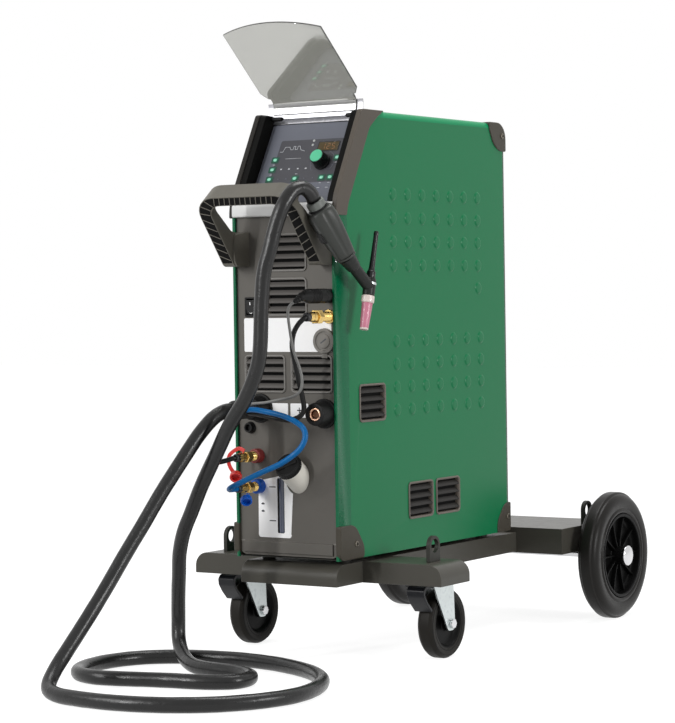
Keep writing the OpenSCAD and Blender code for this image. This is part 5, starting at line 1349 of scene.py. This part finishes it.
for a in (0.0, 2.6):
    bm = bmesh.new()
    grid(bm, [[(r * math.cos(t), r * math.sin(t), h) for t in (a - 2.1 + 0.1 * i for i in range(22))]
              for r, h in ((19.2, 113.4), (20.3, 113.8), (20.6, 115.6), (19.2, 117.2))])
    make("grip_collar_%d" % (a * 10), bm, TORCH, "chrome" if a else "grip", closed=False, crease=60)
prof = rounded([(17.4, 40.8), (21.5, 40.8), (24, 48), (27.6, 60), (26, 72), (21, 74.8), (17.4, 74.8)],
               [1, 3, 8, 9, 5, 2, 1], 5)
make("trigger_blade", slab(prof, -6.1, 6.1), TORCH @ frame_m((0, 0, 0), (1, 0, 0), (0, 0, 1)), "black",
     **on("torch_trigger"), bevel=1.4, segs=3)

# rubber boot, bent neck, head with its collet
far = (HEAD - T_END).length
prof = [(0, -3), (15.4, -3), (15.6, 2), (14.6, 5), (14.9, 9), (14.2, 12), (13.4, 20), (12.8, 26),
        (11.4, 28), (10.6, 29), (10.6, far - 8), (10.8, far), (0, far + 2)]
turned("torch_boot_neck", aim(T_END, (HEAD - T_END).normalized()), "neck", prof, 44, node="torch_neck",
       bevel=0.5)
head, back = aim(HEAD, TIP), aim(HEAD, -TIP)
turned("torch_head", head, "neck",
       [(0, -17), (8.2, -17), (9.4, -16.2), (10.8, -12), (11, -6), (11, 10), (10.6, 14.2), (8, 15), (0, 15)],
       40, node="torch_neck", bevel=0.4)
turned("torch_hook", head, "zinc", [(10.4, -9), (11.6, -8.6), (11.8, -6.6), (11.6, -4.6), (10.4, -4.2)], 40,
       closed=False, crease=50, node="torch_neck")
turned("collet", head, "brass",
       [(0, 14), (4.9, 14), (4.9, 34), (4, 36), (1.3, 36), (1.2, 70), (0.2, 73), (0, 73)], 28,
       node="torch_neck")
turned("cap_tail", back, "black_gloss",
       [(0, 17.1), (7.6, 17.1), (8, 17.6), (8, 27), (7.4, 28.6), (6.4, 29.6), (5.4, 34), (4.6, 60),
        (4.2, 92), (4.5, 96), (4.4, 99), (3.6, 100.8), (0, 101)], 36, **on("torch_back_cap"), bevel=0.3)
turned("nozzle_collar", head, "porcelain",
       [(5.1, 15.2), (10.8, 15.2), (11.6, 16), (11.7, 26.5), (11, 27.8), (9.6, 28.4), (5.1, 28.4)], 44,
       **on("torch_nozzle"), bevel=0.4)
turned("nozzle_body", head, "pink",
       [(9.4, 28.2), (9.6, 29), (9.4, 36), (8.9, 48), (8.2, 62), (7.5, 73.6), (7.1, 75.2), (6.2, 76),
        (5.4, 75.6), (5.3, 72), (6, 40), (5.2, 34)], 44, **on("torch_nozzle"), crease=50, closed=False)
turned("nozzle_lip", head, "porcelain",
       [(7.2, 72.6), (7.75, 73), (7.7, 74.6), (7.1, 76), (6.1, 76.3), (5.3, 75.9), (5.3, 73)], 44,
       body=BODY["torch_nozzle"], closed=False, crease=50)

# ------------------------------------------------------------------ trolley
refine("front_deck", "trolley", 1.0)
refine("rear_platform", "trolley", 1.0)
refine("lifting_eyes", "iron_dark", 1.2, segs=3)
refine("caster_plates", "zinc", 0.6)
refine("rear_panel", "rear", 0.6)
refine("inner_chassis", "iron_dark", 0.4, segs=1)
refine("radiator", "alu", 0.4, segs=1)
refine("power_inverter", "alu", 0.4, segs=1)

WHEEL_X, WHEEL_Y, WHEEL_R = 239, 805, 125
HANDS = ((-1, "left"), (1, "right"))
# half sections (radius, height): tyre from the bead over the side wall to the tread, and rim
WALL = [(83.2, 17.5), (84, 20), (86, 21.4), (89, 21.8), (91, 21.2), (91.8, 19.9), (93, 19.7),
        (94, 20.6), (97, 21.2), (103, 22), (108, 22), (113, 20.8), (117, 18.4), (119.8, 15.6),
        (120.6, 13.6), (120.8, 12), (121.8, 11.2), (123.6, 10.8), (124.7, 9.6), (WHEEL_R, 8)]
RIM = [(8.1, 26), (17, 26), (18, 25), (18, 6), (19.4, 4), (24, 3), (70, 3), (73.4, 4), (75.4, 7),
       (76, 12), (76.4, 19.6), (77.4, 20.8), (79, 21.2), (81.6, 21.2), (82.8, 20.4), (83, 19)]
RIBS = 10


def both_sides(half):
    """A closed section from its upper half."""
    section = half + [(r, -h) for r, h in half[::-1]]
    return section + section[:1]


def rim_ribs():
    """Raised ribs on the outer face of a rear rim."""
    bm = bmesh.new()
    for i in range(RIBS):
        a = 2 * pi * i / RIBS
        c, n = Vector((math.cos(a), math.sin(a))), Vector((-math.sin(a), math.cos(a)))
        rows = []
        for r, w, h in ((17, 2.4, 13), (30, 1.9, 12), (50, 1.7, 11.4), (66, 1.9, 12), (76, 2.6, 13)):
            section = ((1, 2.6), (0.75, h - 0.6), (0.3, h), (-0.3, h), (-0.75, h - 0.6), (-1, 2.6))
            rows.append([(*(c * r + n * w * k), z) for k, z in section])
        grid(bm, rows)
    return bm


for s, hand in HANDS:
    m = frame_m((s * WHEEL_X, WHEEL_Y, WHEEL_R), (0, s, 0), (0, 0, 1))      # local Z outward
    body = BODY["rear_tyre_" + hand]
    turned("tyre_" + hand, m, "tyre", both_sides(WALL), 144, body=body, node="rear_tyre_" + hand,
           crease=62)
    turned("rim_" + hand, m, "rim", both_sides(RIM), 96, body=body, node="rear_rim_" + hand, bevel=0.4,
           crease=45)
    make("rim_ribs_" + hand, rim_ribs(), m, "rim", body=body, node="rear_rim_" + hand, closed=False,
         crease=50)
    turned("axle_cap_" + hand, m, "chrome",
           [(0, 29), (19.2, 29), (20, 29.8), (20, 32.4), (19.4, 33.6), (17.6, 35), (14, 36.2), (9, 36.8),
            (0, 37)], 56, node="rear_axle", bevel=0.2, crease=40)
turned("axle_rod", frame_m((0, WHEEL_Y, WHEEL_R), (0, 1, 0), (0, 0, 1)), "chrome",
       [(0, -268), (8, -268), (8, 268), (0, 268)], 40, node="rear_axle")

CASTER_X, CASTER_Y, CASTER_R = 204, 150, 62.5
TRAIL = 38                            # the caster's wheel sits this far behind its kingpin
TREAD = [tuple(p) for p in rounded([(44, -14), (57.5, -16), (CASTER_R, -9), (CASTER_R, 9), (57.5, 16),
                                    (44, 14)], [1, 5, 6, 6, 5, 1], 5)]
HUB = [(5.1, -17), (12, -17), (13, -16), (13, -8), (15, -6.4), (36, -5.4), (40, -9), (42, -12.6),
       (44.4, -13), (44.4, 13), (42, 12.6), (40, 9), (36, 5.4), (15, 6.4), (13, 8), (13, 16), (12, 17),
       (5.1, 17)]
for s, hand in HANDS:
    at = Matrix.Translation((s * CASTER_X, CASTER_Y, 0))
    m = at @ frame_m((0, TRAIL, CASTER_R), (0, 1, 0), (0, 0, 1))
    fork, roll = on("caster_fork_" + hand), on("caster_wheel_" + hand)
    refine("caster_fork_" + hand, "zinc", 0.7, body=fork["body"])
    turned("caster_tread_" + hand, m, "caster_tread", TREAD + TREAD[:1], 112, **roll, crease=55)
    turned("caster_hub_" + hand, m, "rim", HUB + HUB[:1], 80, **roll, bevel=0.4)
    for k in (1, -1):
        for r, h in ((47, 14.6), (55.6, 15.2)):
            turned("caster_ring_%s_%d_%d" % (hand, k, r), m, "rim",
                   [(r, k * (h - 0.8)), (r + 0.4, k * (h + 0.3)), (r + 1.6, k * (h + 0.3)),
                    (r + 2, k * (h - 0.8))], 96, body=roll["body"], closed=False)
    refine("brake_pedal_" + hand, "pedal", 2.6, body=BODY["brake_pedal_" + hand], segs=4)
    make("bolt_head_" + hand, hexes(21, 26.6, 9.2), m, "chrome", **fork, bevel=0.3, crease=20)
    make("bolt_nut_" + hand, hexes(-26.6, -21, 9.2), m, "chrome", **fork, bevel=0.3, crease=20)
    turned("kingpin_cap_" + hand, at, "zinc", [(27, 164), (27.4, 165), (27.2, 168), (25, 170.2), (12, 170.4)],
           body=fork["body"], closed=False)

# ------------------------------------------------------------------ materials of the CAD nodes
NODE_MAT = {
    "trolley": "front_deck rear_platform",
    "iron_dark": "lifting_eyes", "chrome": "rear_axle casing_screws",
    "zinc": "caster_plates caster_fork_left caster_fork_right",
    "tyre": "caster_wheel_left caster_wheel_right rear_tyre_left rear_tyre_right",
    "rim": "rear_rim_left rear_rim_right",
    "steel": "inner_chassis", "green": "casing_cover", "panel": "front_panel", "rear": "rear_panel",
    "hood": "control_hood", "trim": "hood_trims", "foil": "control_foil", "bracket": "corner_brackets",
    "side_blade": "louvre_grilles", "handle": "push_handle", "label": "label_plates",
    "brass": "brass_couplings", "tank": "coolant_tank", "alu": "radiator power_inverter",
    "iron": "coolant_pump fan_motor", "copper": "transformer", "board": "control_board",
    "smoke": "visor", "grip": "torch_handle", "neck": "torch_neck", "pink": "torch_nozzle",
    "hose": "torch_plug",
    "black": "panel_sockets current_knob mains_rocker filler_cap cooling_fan torch_trigger torch_back_cap "
             "control_plug brake_pedal_left brake_pedal_right",
    "mint": "key_1 key_2 key_3 key_4 key_5 key_6 key_7",
}
for key, nodes in NODE_MAT.items():
    for node in nodes.split():
        ob = frame["nodes"][node]
        if not ob.material_slots:
            ob.data.materials.append(MAT[key])
        for slot in ob.material_slots:
            slot.material = MAT[key]


# ------------------------------------------------------------------ stage and light
FLOOR = 14.0                          # half size of the floor, m
FLOOR_GLOW, WORLD_DIM, WORLD_WHITE = 0.86, 0.42, 1.0


def studio():
    def white_rays(t):
        """One for the rays that show the white background."""
        lp = t.nodes.new("ShaderNodeLightPath")
        seen = lp.outputs["Is Camera Ray"]
        for ray in ("Is Glossy Ray", "Is Transmission Ray"):
            m = t.nodes.new("ShaderNodeMath")
            m.operation = "MAXIMUM"
            t.links.new(seen, m.inputs[0])
            t.links.new(lp.outputs[ray], m.inputs[1])
            seen = m.outputs[0]
        return seen

    corners = [(-FLOOR, -FLOOR, 0), (FLOOR, -FLOOR, 0), (FLOOR, FLOOR, 0), (-FLOOR, FLOOR, 0)]
    me = mesh("floor", corners, [(0, 1, 2, 3)])
    fl = bpy.data.objects.new("floor", me)
    collection().objects.link(fl)
    n = Nodes("floor_paper")
    n.set(color=n.mix(n.noise(2), (0.33, 0.33, 0.33), (0.35, 0.35, 0.35)), rough=0.95, spec=0.05,
          emit=(1, 1, 1))
    glow = n.math("MULTIPLY", white_rays(n.t), FLOOR_GLOW)
    n.link(glow, n.b.inputs["Emission Strength"])
    me.materials.append(n.m)

    world = bpy.data.worlds.new("studio")
    bpy.context.scene.world = world
    world.use_nodes = True
    t = world.node_tree
    t.nodes.clear()
    out = t.nodes.new("ShaderNodeOutputWorld")
    mix = t.nodes.new("ShaderNodeMixShader")
    dim = t.nodes.new("ShaderNodeBackground")
    dim.inputs[0].default_value = (1, 1, 1, 1)
    dim.inputs[1].default_value = WORLD_DIM
    white = t.nodes.new("ShaderNodeBackground")
    white.inputs[0].default_value = (1, 1, 1, 1)
    white.inputs[1].default_value = WORLD_WHITE
    t.links.new(white_rays(t), mix.inputs[0])
    t.links.new(dim.outputs[0], mix.inputs[1])
    t.links.new(white.outputs[0], mix.inputs[2])
    t.links.new(mix.outputs[0], out.inputs[0])

    def area(name, at, to, size, watts):
        d = bpy.data.lights.new(name, "AREA")
        d.shape = "RECTANGLE"
        d.size, d.size_y = size
        d.energy = watts
        o = bpy.data.objects.new(name, d)
        collection().objects.link(o)
        o.location = at
        o.rotation_euler = (Vector(to) - Vector(at)).to_track_quat("-Z", "Y").to_euler()

    area("key_light", (-1.9, -3.2, 2.2), (0, -0.2, 0.5), (1.2, 1.4), 36)
    area("top_light", (0.2, 0.4, 3.2), (0, 0, 0.4), (1.6, 1.6), 56)
    area("side_light", (3.3, -0.5, 1.1), (0, 0, 0.6), (1.0, 0.7), 46)
    area("gloss_strip", (-1.0, -3.9, 1.5), (0, -0.5, 0.6), (0.14, 1.5), 56)


studio()
bpy.context.scene.view_settings.view_transform = "Standard"
